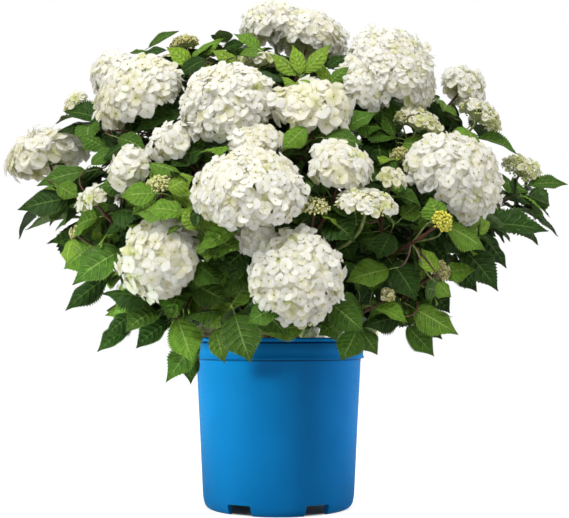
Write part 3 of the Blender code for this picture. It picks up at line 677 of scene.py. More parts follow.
# The leaves that stand out in the front view. Each has the place of its blade's base and of its
# tip there, in that view's pixels, the depth of both in metres, the blade's width, how far
# its face turns from up to the front, in degrees, and its age.
POSED_LEAVES = (
    (68, 199, 20, 214, -0.080, -0.085, 0.046, 62, "deep"),
    (86, 172, 37, 185, -0.080, -0.085, 0.036, 50, "green"),
    (58, 186, 78, 199, -0.095, -0.100, 0.026, 60, "fresh"),
    (104, 148, 78, 136, -0.110, -0.110, 0.026, 55, "green"),
    (128, 143, 102, 158, -0.130, -0.135, 0.026, 58, "deep"),
    (118, 138, 146, 150, -0.150, -0.155, 0.026, 58, "green"),
    (92, 165, 121, 148, -0.120, -0.120, 0.024, 58, "green"),
    (128, 186, 96, 187, -0.150, -0.155, 0.024, 55, "green"),
    (122, 252, 73, 284, -0.120, -0.130, 0.052, 55, "green"),
    (107, 278, 67, 312, -0.100, -0.110, 0.032, 58, "deep"),
    (158, 303, 102, 293, -0.165, -0.160, 0.040, 40, "deep"),
    (157, 312, 124, 331, -0.160, -0.180, 0.042, 50, "green"),
    (134, 315, 105, 334, -0.130, -0.140, 0.034, 60, "deep"),
    (130, 328, 98, 352, -0.120, -0.130, 0.028, 55, "deep"),
    (167, 324, 135, 346, -0.150, -0.160, 0.036, 50, "deep"),
    (178, 319, 193, 363, -0.170, -0.180, 0.042, 75, "fresh"),
    (198, 338, 170, 384, -0.150, -0.150, 0.034, 65, "green"),
    (192, 345, 187, 384, -0.140, -0.140, 0.028, 70, "deep"),
    (235, 315, 248, 363, -0.200, -0.205, 0.048, 80, "green"),
    (215, 329, 225, 363, -0.180, -0.180, 0.026, 75, "fresh"),
    (240, 226, 197, 250, -0.245, -0.250, 0.030, 48, "fresh"),
    (253, 244, 224, 270, -0.215, -0.225, 0.038, 55, "deep"),
    (284, 306, 246, 322, -0.262, -0.262, 0.036, 50, "green"),
    (262, 308, 284, 336, -0.252, -0.262, 0.038, 62, "green"),
    (303, 327, 262, 336, -0.215, -0.225, 0.032, 62, "fresh"),
    (201, 229, 181, 208, -0.235, -0.240, 0.026, 62, "bright"),
    (197, 265, 221, 285, -0.200, -0.215, 0.036, 52, "green"),
    (104, 122, 64, 114, -0.050, -0.050, 0.038, 42, "deep"),
    (100, 127, 57, 131, -0.040, -0.040, 0.030, 42, "deep"),
    (180, 112, 132, 133, -0.130, -0.140, 0.040, 42, "deep"),
    (205, 150, 173, 160, -0.170, -0.180, 0.032, 48, "deep"),
    (158, 184, 157, 162, -0.205, -0.205, 0.022, 85, "bright"),
    (155, 194, 120, 197, -0.222, -0.228, 0.029, 66, "fresh"),
    (168, 189, 194, 178, -0.222, -0.228, 0.028, 66, "bright"),
    (150, 165, 181, 173, -0.190, -0.195, 0.028, 52, "fresh"),
    (527, 186, 567, 184, -0.010, -0.010, 0.023, 48, "green"),
    (484, 224, 548, 231, -0.070, -0.080, 0.044, 60, "deep"),
    (478, 139, 518, 152, -0.030, -0.030, 0.030, 45, "green"),
    (500, 182, 529, 194, -0.020, -0.030, 0.028, 52, "green"),
    (478, 232, 503, 270, -0.090, -0.095, 0.038, 52, "deep"),
    (462, 249, 495, 293, -0.120, -0.130, 0.046, 58, "deep"),
    (443, 274, 477, 270, -0.170, -0.175, 0.032, 52, "fresh"),
    (447, 227, 487, 248, -0.195, -0.195, 0.036, 52, "fresh"),
    (440, 220, 431, 196, -0.236, -0.236, 0.032, 80, "fresh"),
    (414, 309, 455, 338, -0.160, -0.170, 0.040, 66, "fresh"),
    (407, 327, 433, 357, -0.140, -0.145, 0.030, 60, "green"),
    (415, 318, 442, 339, -0.120, -0.125, 0.028, 56, "deep"),
    (375, 308, 408, 322, -0.195, -0.205, 0.028, 48, "fresh"),
    (331, 304, 363, 332, -0.220, -0.230, 0.040, 66, "green"),
    (357, 330, 343, 362, -0.190, -0.190, 0.034, 75, "green"),
    (360, 330, 377, 355, -0.175, -0.180, 0.030, 66, "green"),
    (342, 322, 318, 334, -0.205, -0.210, 0.032, 52, "green"),
    (388, 270, 347, 284, -0.205, -0.215, 0.038, 52, "fresh"),
    (392, 264, 417, 300, -0.170, -0.180, 0.046, 60, "deep"),
    (400, 318, 365, 328, -0.180, -0.185, 0.032, 48, "deep"),
    (390, 234, 379, 260, -0.215, -0.220, 0.030, 66, "deep"),
    (358, 220, 322, 213, -0.215, -0.220, 0.028, 45, "deep"),
    (305, 128, 284, 150, -0.198, -0.205, 0.028, 62, "fresh"),
    (325, 138, 363, 142, -0.190, -0.195, 0.032, 45, "green"),
    (342, 130, 377, 113, -0.150, -0.150, 0.032, 52, "green"),
    (402, 218, 420, 202, -0.200, -0.200, 0.028, 62, "fresh"),
    (436, 272, 421, 249, -0.190, -0.190, 0.024, 62, "bright"),
    (437, 283, 452, 296, -0.190, -0.190, 0.024, 62, "fresh"),
    (298, 75, 270, 54, -0.135, -0.140, 0.022, 60, "bright"),
    (301, 74, 292, 45, -0.135, -0.140, 0.019, 75, "bright"),
    (305, 73, 333, 47, -0.135, -0.140, 0.022, 65, "bright"),
    (330, 84, 314, 56, -0.130, -0.135, 0.017, 70, "bright"),
    (329, 87, 348, 69, -0.125, -0.130, 0.021, 60, "fresh"),
    (319, 85, 289, 87, -0.145, -0.160, 0.022, 62, "bright"),
    (296, 87, 281, 76, -0.145, -0.150, 0.013, 62, "bright"),
    (283, 82, 242, 69, -0.110, -0.110, 0.024, 45, "deep"),
    (328, 69, 348, 55, -0.100, -0.095, 0.022, 52, "deep"),
    (260, 51, 234, 34, -0.060, -0.060, 0.022, 52, "fresh"),
    (240, 57, 266, 53, -0.080, -0.080, 0.018, 52, "fresh"),
    (244, 44, 221, 51, -0.040, -0.040, 0.020, 50, "deep"),
    (237, 67, 211, 50, -0.070, -0.075, 0.025, 62, "bright"),
    (192, 57, 225, 38, -0.050, -0.050, 0.020, 50, "fresh"),
    (191, 67, 167, 47, -0.060, -0.070, 0.025, 62, "bright"),
    (206, 60, 179, 77, -0.075, -0.080, 0.026, 52, "deep"),
    (166, 51, 136, 60, -0.030, -0.030, 0.021, 48, "deep"),
    (149, 48, 179, 31, 0.010, 0.010, 0.017, 45, "green"),
    (147, 54, 129, 53, 0.000, 0.000, 0.012, 42, "green"),
    (184, 110, 137, 117, -0.090, -0.100, 0.030, 45, "deep"),
    (452, 262, 478, 290, -0.060, -0.065, 0.038, 60, "deep"),
    (425, 285, 450, 312, -0.080, -0.085, 0.038, 60, "deep"),
    (425, 236, 448, 262, -0.130, -0.130, 0.034, 60, "deep"),
    (150, 232, 120, 242, -0.130, -0.130, 0.034, 50, "deep"),
    (95, 225, 60, 240, -0.060, -0.060, 0.030, 50, "deep"),
    (88, 232, 48, 244, -0.040, -0.040, 0.024, 50, "green"),
    (112, 205, 92, 228, -0.100, -0.100, 0.024, 60, "fresh"),
    (425, 170, 398, 190, -0.150, -0.155, 0.030, 55, "deep"),
    (340, 240, 352, 262, -0.170, -0.170, 0.030, 60, "deep"),
    (320, 200, 345, 195, -0.180, -0.180, 0.028, 50, "deep"),
)
POSED_LIFT = 7  # degrees by which a posed leaf starts above the line to its drooping tip
POSED_REACH = 0.97  # how far a drooping blade reaches, as a share of its length
POSED_TWIG = (0.0015, 0.0010)  # radii of the twig that it stands on
SMALL_POSED = 0.050  # a posed leaf shorter than this has a small underside and stalk
LEAFY_ROSETTE = ((0.024, 30), (0.038, 52), (0.050, 72))  # each pair's length and opening
BUD_ROSETTE = ((0.036, 66), (0.050, 80))
SPRIG_RADII = [0.0012, 0.0010, 0.0008]
STEM_INNER, CANE_INNER = (0.050, 0.034), (0.012, 0.038)  # first pair from the tip, and spacing
SHOWN_HEADS = [tip for tips in FRONT_MASSES.values() for tip in tips if tip.width > 0.030]


def front(a, b, y):
    """The place at depth y that the front view shows at (a, b), in its pixels."""
    pitch = radians(CAMERA_PITCH)
    right, up = (a - VIEW_WIDTH / 2) / FOCAL_PIXELS, (VIEW_HEIGHT / 2 - b) / FOCAL_PIXELS
    far = (y - SEEN_FROM[1]) / (cos(pitch) - up * sin(pitch))
    return Vector((SEEN_FROM[0] + right * far, y, SEEN_FROM[2] + (sin(pitch) + up * cos(pitch)) * far))


def posed_leaf(base_a, base_b, tip_a, tip_b, base_y, tip_y, width, face):
    """A leaf whose blade's base and tip show at these pixels and lie at these depths."""
    base, tip = front(base_a, base_b, base_y), front(tip_a, tip_b, tip_y)
    blade = tip - base
    along = blade.normalized()
    normal = Vector((0, -sin(radians(face)), cos(radians(face))))
    normal = (normal - along * normal.dot(along)).normalized()
    lift = radians(POSED_LIFT)
    along, normal = along * cos(lift) + normal * sin(lift), normal * cos(lift) - along * sin(lift)
    length = blade.length / (POSED_REACH * (1 - LEAF_STALK))
    return Leaf(base - along * length * LEAF_STALK, along, normal, length, width)


def posed_turns(leaf):
    """The leaf, then the same leaf moved in depth or turned a little."""
    yield leaf
    for depth in (0.006, -0.006, 0.012, -0.012, 0.020):
        yield leaf._replace(foot=leaf.foot + Vector((0, depth, 0)))
    for sideways, tilt in ((6, 0), (-6, 0), (0, 10), (0, -10)):
        yield swung_leaf(leaf, sideways, tilt)


def posed_leaves(grown, taken):
    """The leaves that stand out in front, each on a fine twig from the nearest stem."""
    rng = Random(f"{SEED} posed")
    found, sprigs = [], []
    limbs = [shoot.limb for name in FRONT_MASSES for shoot in grown[name]]
    stations = [(place, way) for limb in limbs for place, way in zip(limb.path[:-1], limb.ways)]
    for *places, age in POSED_LEAVES:
        leaf = posed_leaf(*places)
        leaf = next((t for t in posed_turns(leaf) if not taken.touch(*leaf_solid(t, LEAF_ROOT))), leaf)
        taken.add(*leaf_solid(leaf))
        found.append(Grown(leaf, age, "posed small" if leaf.length < SMALL_POSED else "posed"))
        near, way = min(stations, key=lambda station: (station[0] - leaf.foot).length_squared)
        start_way = (way * 0.5 + (leaf.foot - near).normalized()).normalized()
        twig = limb_between(near, start_way, leaf.foot, leaf.along, 7, POSED_TWIG)
        sprigs.append(Sprig(twig.path, twig.radii, "red" if rng.random() < 0.6 else "green"))
    return found, sprigs


def age_of(rank, tip, rng):
    """How old a leaf looks, by its place on a shoot."""
    draw = rng.random()
    if rank == 0 and tip.bears in (LEAFY, BUD):
        return "bright" if draw < 0.6 else "fresh"
    if rank == 1 and tip.bears in (LEAFY, BUD):
        return "fresh" if draw < 0.5 else "green"
    if rank == 0:
        return "fresh" if draw < 0.28 else "green" if draw < 0.75 else "deep"
    return "green" if draw < 0.45 else "deep"


def turned(normal, along, rng, spread=0.25):
    """A leaf face's normal, square to the leaf, tipped a little at random."""
    loose = Vector((rng.gauss(0, spread), rng.gauss(0, spread), rng.gauss(0, spread)))
    normal = normal + loose
    return (normal - along * normal.dot(along)).normalized()


def small_leaf(foot, way, side, open_degrees, length, rng):
    """One of a pair of young leaves round a shoot's end."""
    angle = radians(open_degrees + rng.uniform(-9, 9))
    along = (side * sin(angle) + way * cos(angle)).normalized()
    normal = way * sin(angle) - side * cos(angle)
    return Leaf(foot, along, turned(normal, along, rng, 0.1), length, length * 0.56)


def rosette(shoot, name, taken, rng):
    """Young leaves that still stand close round a leafy shoot's end, or under a bud."""
    way, foot = shoot.limb.ways[-1], shoot.limb.path[-1]
    found = []
    turn = rng.uniform(0, pi)
    for length, opening in LEAFY_ROSETTE if shoot.tip.bears == LEAFY else BUD_ROSETTE:
        for side in both_sides(turn, way, shoot.limb.flats[-1]):
            leaf = small_leaf(foot, way, side, opening, length * rng.uniform(0.9, 1.15), rng)
            fitted = fit_leaf(leaf, name, None, taken, (1.0, 0.8))
            if fitted:
                found.append(Grown(fitted, "bright", "small"))
                if length > 0.035:
                    taken.add(*leaf_solid(fitted))
        turn += pi / 2
    return found


def axil_sprigs(leaf, way, name, taken, rng):
    """A short twig from the angle between a leaf and its shoot, with a pair of small leaves."""
    aim = (leaf.along * 0.7 + way * 0.9 + turned(way, leaf.along, rng) * 0.2).normalized()
    reach = rng.uniform(0.010, 0.030)
    end = leaf.foot + aim * reach
    sprig = Sprig([leaf.foot, leaf.foot + aim * reach * 0.5, end], SPRIG_RADII, "green")
    side = Matrix.Rotation(rng.uniform(0, pi), 3, aim) @ aim.orthogonal().normalized()
    found = []
    for out in both_sides(0, aim, side):
        young = small_leaf(end, aim, out, 52, rng.uniform(0.040, 0.072), rng)
        fitted = fit_leaf(young, name, None, taken, (1.0, 0.75, 0.55))
        if fitted:
            age = rng.choice(("fresh", "green", "green", "deep"))
            found.append(Grown(fitted, age, "small" if fitted.length < 0.06 else "large"))
            taken.add(*leaf_solid(fitted))
    return found, [sprig] if found else []


def inner_leaves(limb, name, taken, rng, start, spacing):
    """Older leaves on the lower part of a stem or the upper part of a cane, in the shade."""
    found = []
    distance = start
    turn = rng.uniform(0, pi)
    while distance < length_of(limb) * 0.97:
        foot, way, flat = along_limb(limb, distance)
        for side in both_sides(turn, way, flat):
            leaf = leaf_at(foot, way, side, 2, False, rng)
            fitted = fit_leaf(leaf, name, None, taken, (0.9, 0.75, 0.6))
            if fitted:
                found.append(Grown(fitted, rng.choice(("green", "deep", "deep")), "large"))
                taken.add(*leaf_solid(fitted))
        turn += pi / 2
        distance += spacing * rng.uniform(0.8, 1.2)
    return found


def fine_shoot(shoot, number):
    """The shoot's limb again, in steps short enough to look round."""
    limb = shoot.limb
    radii = (STEM_RADIUS if number == 0 else SHOOT_RADIUS, TIP_RADIUS * 0.9)
    ends = (limb.path[0], shoot.start_way, limb.path[-1], axis_of(shoot.tip))
    return limb_between(*ends, 16, radii)


def grow_canes(masses, taken):
    """Each mass's name and cane, with the ways in which the cane leaves and arrives."""
    feet = [mass_foot(tips) for tips in masses.values()]
    starts = spread_ways([way for _, way in feet])
    canes = []
    for name, (foot, way), start_way in zip(masses, feet, starts):
        limb = cane(foot, way, start_way)
        taken.add(*tube(limb, CANE_SIDES, CANE_CLEARANCE))
        canes.append((name, limb, start_way, way))
    return canes


def grow_by_rule(grown, spaces, taken):
    """The rule's leaves, and where each of them stands: leaf, shoot and mass."""
    leaves, nodes = [], []
    for name, shoots in grown.items():
        rng = Random(f"{SEED} {name} ages")
        for leaf, shoot, rank in leaves_by_rank(shoots):
            fitted = fit_leaf(leaf, name, spaces, taken)
            if fitted:
                taken.add(*leaf_solid(fitted))
                leaves.append(Grown(fitted, age_of(rank, shoot.tip, rng), "large"))
                nodes.append((fitted, shoot, name))
    return leaves, nodes


def grow_extras(grown, taken):
    """The shoots of the small heads that the CAD leaves out, by mass."""
    extras = {}
    for name, tips in EXTRA_TIPS.items():
        rng = Random(f"{SEED} {name} extras")
        extras[name] = []
        for number, tip in enumerate(tips):
            extras[name].append(side_shoot(grown[name][0], tip, 2 + number, rng))
            for points, faces in twigs_and_heads(name, extras[name][-1:]):
                taken.add(points, faces)
    return extras


def grow(masses):
    """Every cane, shoot, leaf and fine twig of the shrub."""
    taken = Taken()
    for node in ("pot", "potting_mix", "woody_crown"):
        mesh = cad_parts[node].data
        taken.add([v.co.copy() for v in mesh.vertices], [tuple(p.vertices) for p in mesh.polygons])
    canes = grow_canes(masses, taken)
    grown = {name: shoots_of(name, tips) for name, tips in masses.items()}
    for name, shoots in grown.items():
        for points, faces in twigs_and_heads(name, shoots):
            taken.add(points, faces)
    leaves, sprigs = posed_leaves(grown, taken)
    ruled, nodes = grow_by_rule(grown, Spaces(masses), taken)
    leaves += ruled
    extras = grow_extras(grown, taken)
    for name, shoots in grown.items():
        rng = Random(f"{SEED} {name} rosettes")
        for shoot in shoots + extras.get(name, []):
            if shoot.tip.bears in (LEAFY, BUD):
                leaves += rosette(shoot, name, taken, rng)
    rng = Random(f"{SEED} inner")
    for name, shoots in grown.items():
        leaves += inner_leaves(shoots[0].limb, name, taken, rng, *STEM_INNER)
    for name, limb, _, _ in canes:
        leaves += inner_leaves(limb, name, taken, rng, *CANE_INNER)
    rng = Random(f"{SEED} axils")
    for leaf, shoot, name in nodes:
        more, twig = axil_sprigs(leaf, shoot.limb.ways[-1], name, taken, rng)
        leaves += more
        sprigs += twig
    for name, more in extras.items():
        grown[name] = grown[name] + more
    return canes, grown, leaves, sprigs


# ---------------------------------------------------------------- joined meshes
UV_MAP = "OFBake"
FOLIAGE_NODES = [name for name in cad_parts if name.startswith("foliage_")]
CANE_NODES = [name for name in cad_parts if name.startswith("cane_")]


def draws(name):
    """Random numbers of a thing's own."""
    return np.random.default_rng(crc32(f"{SEED} {name}".encode()))


def unit(vectors):
    """The vectors at length 1."""
    return vectors / np.linalg.norm(vectors, axis=-1, keepdims=True)


def round_angles(count):
    """Even angles round a circle."""
    return np.arange(count) / count * 2 * pi


def turned_pair(first, second, angle):
    """Two ways square to each other, turned in their plane."""
    cosine, sine = np.cos(angle), np.sin(angle)
    return first * cosine + second * sine, second * cosine - first * sine


def square_to(ways):
    """For each way, one that is square to it."""
    helper = np.where(np.abs(unit(ways)[:, 2:]) < 0.9, (0.0, 0.0, 1.0), (1.0, 0.0, 0.0))
    return unit(np.cross(helper, ways))


def mesh_object(name, points, faces, uv, material, smooth=True):
    """A mesh from arrays: points, lists of faces of one size each, and a place in UV for each
    point."""
    mesh = bpy.data.meshes.new(name)
    corners = np.concatenate([f.ravel() for f in faces]).astype(np.int32)
    sizes = np.concatenate([np.full(len(f), f.shape[1]) for f in faces])
    mesh.vertices.add(len(points))
    mesh.vertices.foreach_set("co", np.asarray(points, np.float32).ravel())
    mesh.loops.add(len(corners))
    mesh.loops.foreach_set("vertex_index", corners)
    mesh.polygons.add(len(sizes))
    starts = np.concatenate([[0], np.cumsum(sizes)[:-1]]).astype(np.int32)
    mesh.polygons.foreach_set("loop_start", starts)
    mesh.update(calc_edges=True)
    if uv is not None:
        layer = mesh.uv_layers.new(name=UV_MAP)
        layer.data.foreach_set("uv", uv[corners].astype(np.float32).ravel())
    mesh.materials.append(material)
    if smooth:
        mesh.shade_smooth()
    made = bpy.data.objects.new(name, mesh)
    bpy.context.scene.collection.objects.link(made)
    return made


class Joined:
    """Copies of small things, made into one mesh."""

    def __init__(self):
        self.points, self.faces, self.uv, self.total = [], [], [], 0

    def add(self, points, faces, uv=None):
        """points is (copies, points of one, 3), and faces and uv are those of one copy."""
        points = np.asarray(points, float)
        copies, each, _ = points.shape
        first = self.total + np.arange(copies)[:, None, None] * each
        self.points.append(points.reshape(-1, 3))
        self.faces.append((np.asarray(faces)[None] + first).reshape(-1, np.shape(faces)[1]))
        if uv is not None:
            self.uv.append(np.tile(uv, (copies, 1)))
        self.total += copies * each

    def piece(self, name, material, slot, *replaced, smooth=True):
        """One piece of the scene, of all that was added."""
        uv = np.concatenate(self.uv) if self.uv else None
        made = mesh_object(name, np.concatenate(self.points), self.faces, uv, material, smooth)
        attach(made, "root")
        if replaced:
            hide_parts(*replaced)


def grid_faces(rows, columns, wrap=False):
    """Quads between the points of a grid, row after row."""
    faces = []
    for i in range(rows - 1):
        for j in range(columns if wrap else columns - 1):
            a, b = i * columns + j, i * columns + (j + 1) % columns
            faces.append((a, b, b + columns, a + columns))
    return np.array(faces)


def tube_points(path, radii, sides, relief=None):
    """Rings round a path, turned as little as they can be from one to the next."""
    path = np.array([tuple(p) for p in path], float)
    way = unit(np.gradient(path, axis=0))
    flat = np.empty_like(path)
    start = np.cross(way[0], (0.0, 0.0, 1.0))
    if np.linalg.norm(start) < 0.1:
        start = np.cross(way[0], (1.0, 0.0, 0.0))
    flat[0] = start
    for i in range(1, len(path)):
        flat[i] = flat[i - 1] - way[i] * flat[i - 1].dot(way[i])
    flat = unit(flat)
    across = np.cross(way, flat)
    angle = round_angles(sides)[None, :, None]
    ring = flat[:, None] * np.cos(angle) + across[:, None] * np.sin(angle)
    size = np.asarray(radii, float)[:, None, None]
    if relief is not None:
        size = size * (1 + relief(len(path), sides))[:, :, None]
    return (path[:, None] + ring * size).reshape(1, -1, 3)


def tube_faces(rings, sides):
    """The faces of a tube whose rings follow each other, open at both ends."""
    return grid_faces(rings, sides, wrap=True)


# ---------------------------------------------------------------- how leaves bend
POSED_LEAF = (40, (0.0, 0.5, 1.0), 0.115)  # rows along the blade, columns out to one side, tooth
LARGE_LEAF = (30, (0.0, 0.5, 1.0), 0.11)
SMALL_LEAF = (22, (0.0, 1.0), 0.12)
SIDE_VEINS = 7.0
VEIN_SLANT = 0.20
LOW_TIPS = 0.27  # leaves whose tips are lower than this hardly droop
STALK_RADIUS = 0.00105
UV_HALF, UV_FOOT, UV_LENGTH = 0.47, 0.02, 0.96  # where a blade lies on its UV map


def blade_width(u):
    """Half the width of a blade along its length, 1 at its widest."""
    u = np.clip(u, 0, 1)
    drawn_out = 1 - 0.60 * np.clip((u - 0.60) / 0.36, 0, 1)
    return u**0.64 * (1 - u**1.6) / 0.4327 * drawn_out


def blade_template(rows, columns, depth=0.0):
    """Place along the blade, place across it from -1 to 1, and tooth of each point; faces; UV.
    depth is a tooth's, as a share of the half width."""
    across = np.array([-c for c in columns[:0:-1]] + list(columns))
    along, side = np.meshgrid(np.arange(rows + 1) / rows, across, indexing="ij")
    odd = (np.arange(rows + 1) % 2)[:, None] * np.ones_like(side)
    inside = (along > 0.05) & (along < 0.97)
    edge = (np.abs(side) > 0.99) & inside
    tooth = np.where(edge, np.where(odd > 0, depth, -depth * 0.45), 0)
    shifted = along + np.where(edge & (odd > 0), 0.62 / rows, 0)
    uv = np.stack([0.5 + UV_HALF * side, UV_FOOT + UV_LENGTH * along], axis=-1).reshape(-1, 2)
    return shifted.ravel(), side.ravel(), tooth.ravel(), grid_faces(rows + 1, len(across)), uv


class LeafForms:
    """The arrays that say how a number of leaves lie and bend."""

    def __init__(self, leaves, name, posed):
        rng = draws(name)
        count = len(leaves)
        self.foot = np.array([tuple(leaf.foot) for leaf in leaves])
        self.along = np.array([tuple(leaf.along) for leaf in leaves])
        normal = np.array([tuple(leaf.normal) for leaf in leaves])
        self.length = np.array([leaf.length for leaf in leaves])
        self.width = np.array([leaf.width for leaf in leaves])
        roll = rng.normal(0, 0.08 if posed else 0.26, count)[:, None]
        self.normal, self.across = turned_pair(normal, np.cross(normal, self.along), roll)
        self.rise = rng.uniform(0.02, 0.22, count)
        if posed:
            self.droop = rng.uniform(0.25, 0.55, count)
        else:
            low = self.foot[:, 2] + self.along[:, 2] * self.length < LOW_TIPS
            self.droop = rng.uniform(0.40, 1.00, count) * np.where(low, 0.45, 1)
        self.fold = np.tan(np.radians(rng.uniform(5, 24, count)))
        self.roll = rng.uniform(-0.5, 1.4, count)
        self.wave = rng.uniform(0.05, 0.14, count)
        self.phase = rng.uniform(0, 2 * pi, (count, 2))
        self.sickle = rng.uniform(-0.07, 0.07, count)
        self.twist = rng.uniform(-0.22, 0.22, count)
        self.quilt = rng.uniform(0.0012, 0.0019, count) * np.clip(self.length / 0.1, 0.4, 1.1)

    def spine(self, u):
        """Points of each leaf's midrib, and the ways out of and across the blade there."""
        u = np.asarray(u, float)[None, :]
        rise, droop = self.rise[:, None], self.droop[:, None] + self.rise[:, None]
        angle = rise - droop * u
        blade = ((1 - LEAF_STALK) * self.length)[:, None]
        ahead = LEAF_STALK * self.length[:, None] + blade * (np.sin(rise) - np.sin(angle)) / droop
        lift = blade * (np.cos(angle) - np.cos(rise)) / droop
        lift = lift + LEAF_STALK * self.length[:, None] * np.sin(rise) * 0.5
        side = self.sickle[:, None] * blade * u * u
        a, n, c = self.along[:, None], self.normal[:, None], self.across[:, None]
        place = self.foot[:, None] + a * ahead[..., None] + n * lift[..., None] + c * side[..., None]
        out = n * np.cos(angle)[..., None] - a * np.sin(angle)[..., None]
        return place, *turned_pair(out, c, (self.twist[:, None] * u)[..., None])

    def blade(self, u, side, tooth, quilted=1.0, sink=0.0, narrower=1.0):
        """The points of each leaf's blade."""
        place, out, across = self.spine(u)
        u, side, tooth = u[None], side[None], tooth[None]
        half = (self.width / 2)[:, None] * blade_width(u) * narrower
        x = side * half * (1 + tooth)
        vein = (u - VEIN_SLANT * np.abs(side) ** 1.15) * SIDE_VEINS
        bulge = (0.5 - 0.5 * np.cos(2 * pi * vein)) * (1 - np.abs(side) ** 6)
        bulge = bulge * np.minimum(1, 4 * np.abs(side))
        z = self.fold[:, None] * np.abs(x) * (1 - 0.75 * u)
        z = z - self.roll[:, None] * x * x / np.maximum(self.width[:, None], 1e-6)
        wave = np.sin(2 * pi * 2.3 * u + np.where(side > 0, self.phase[:, :1], self.phase[:, 1:]))
        z = z + self.wave[:, None] * np.abs(side) ** 3 * wave * half * 0.9
        z = z + self.quilt[:, None] * bulge * quilted - sink
        return place + across * x[..., None] + out * z[..., None]

    def stalk(self, stations, sides):
        """A tube from the foot along the stalk and on under the midrib."""
        in_stalk = np.linspace(0, 1, 4)[:-1]
        u = np.linspace(0, 0.9, stations - 3)
        place, out, across = self.spine(u)
        start = self.foot[:, None]
        stem = start + (place[:, :1] - start) * in_stalk[None, :, None]
        bow = self.normal[:, None] * (self.length * 0.012)[:, None, None]
        stem = stem + bow * (4 * in_stalk * (1 - in_stalk))[None, :, None]
        thickness = [STALK_RADIUS * (1.25 - 0.3 * in_stalk), STALK_RADIUS * (0.9 - 0.75 * u)]
        radius = np.concatenate(thickness)[None, :]
        radius = radius * np.clip(self.length / 0.11, 0.55, 1.15)[:, None]
        place = place - out * (radius[:, 3:] * 0.75)[..., None]
        path = np.concatenate([stem, place], axis=1)
        out = np.concatenate([np.repeat(self.normal[:, None], 3, axis=1), out], axis=1)
        across = np.concatenate([np.repeat(self.across[:, None], 3, axis=1), across], axis=1)
        angle = round_angles(sides)[None, None, :, None]
        ring = out[:, :, None] * np.cos(angle) + across[:, :, None] * np.sin(angle)
        points = path[:, :, None] + ring * radius[:, :, None, None]
        return points.reshape(len(points), -1, 3)


# ---------------------------------------------------------------- flower heads
PETAL_ROWS = ((0.03, 0.11), (0.30, 0.48), (0.58, 0.63), (0.85, 0.42), (1.13, 0.03))
PLAIN_PETAL_ROWS = ((0.05, 0.16), (0.60, 0.70), (1.0, 0.34))  # reach and half width
PETAL_COLUMNS = (-1.0, 0.0, 1.0)
PETALS_EACH = 4
PEDICEL_BEND = 0.35
LUMPS_EACH, LUMP_SPREAD = 11, 0.09  # of a head's surface


def petal_template(outline):
    """Reach, place across and UV of each point of a petal, and its faces."""
    rows = []
    for reach, half in outline:
        for s in PETAL_COLUMNS:
            rows.append((reach - 0.10 * reach**2 * s * s, half * s, 0.5 + UV_HALF * s, reach))
    return np.array(rows), grid_faces(len(outline), len(PETAL_COLUMNS))


def bead_template():
    """A small ball of twenty faces."""
    gold = (1 + sqrt(5)) / 2
    points = []
    for a in (-1, 1):
        for b in (-gold, gold):
            points += [(0, a, b), (a, b, 0), (b, 0, a)]
    points = np.array(points) / sqrt(1 + gold * gold)
    faces = []
    for i in range(12):
        for j in range(i + 1, 12):
            for k in range(j + 1, 12):
                sides = [np.linalg.norm(points[a] - points[b]) for a, b in ((i, j), (j, k), (i, k))]
                if max(sides) < 1.1:
                    out = np.cross(points[j] - points[i], points[k] - points[i]).dot(points[i])
                    faces.append((i, j, k) if out > 0 else (i, k, j))
    return points, np.array(faces)


PETAL = petal_template(PETAL_ROWS)
PLAIN_PETAL = petal_template(PLAIN_PETAL_ROWS)
BEAD, BEAD_FACES = bead_template()
EYE = np.array([(1, 0, -0.58), (-0.5, 0.87, -0.58), (-0.5, -0.87, -0.58), (0, 0, 1)], float)
EYE_FACES = np.array([(0, 2, 1), (0, 1, 3), (1, 2, 3), (2, 0, 3)])


def petals(centres, normals, radius, rng, form, cup, wild):
    """The petals of many florets: (florets x petals, points of one, 3). cup is how far they
    close, and wild how unlike they are."""
    count = len(centres)
    spin = rng.uniform(0, 2 * pi, count)
    x = square_to(normals)
    y = np.cross(normals, x)
    reach, across = form[:, 0][None], form[:, 1][None]
    made = []
    for k in range(PETALS_EACH):
        angle = spin + 2 * pi * k / PETALS_EACH + rng.normal(0, 0.10 * wild, count)
        way = x * np.cos(angle)[:, None] + y * np.sin(angle)[:, None]
        side = np.cross(normals, way)
        tilt = rng.normal(0.02, 0.17 * wild, count) + cup
        roll = rng.normal(0, 0.16 * wild, count)
        size = radius * rng.uniform(0.86, 1.12, count)
        curl = rng.normal(-0.16, 0.11 * wild, count)
        crease = rng.normal(0.04, 0.11 * wild, count)
        way, out = turned_pair(way, normals, tilt[:, None])
        out, side = turned_pair(out, side, roll[:, None])
        lift = curl[:, None] * reach**2 + crease[:, None] * np.abs(across)
        lift = lift + 0.035 * wild * np.sin(across * 5 + spin[:, None]) * reach
        lift = lift + 0.05 * (k % 2)  # every other petal lies over its neighbours
        points = way[:, None] * reach[..., None] + side[:, None] * across[..., None]
        points = points + out[:, None] * lift[..., None]
        made.append(centres[:, None] + points * size[:, None, None])
    return np.stack(made, axis=1).reshape(-1, len(form), 3)


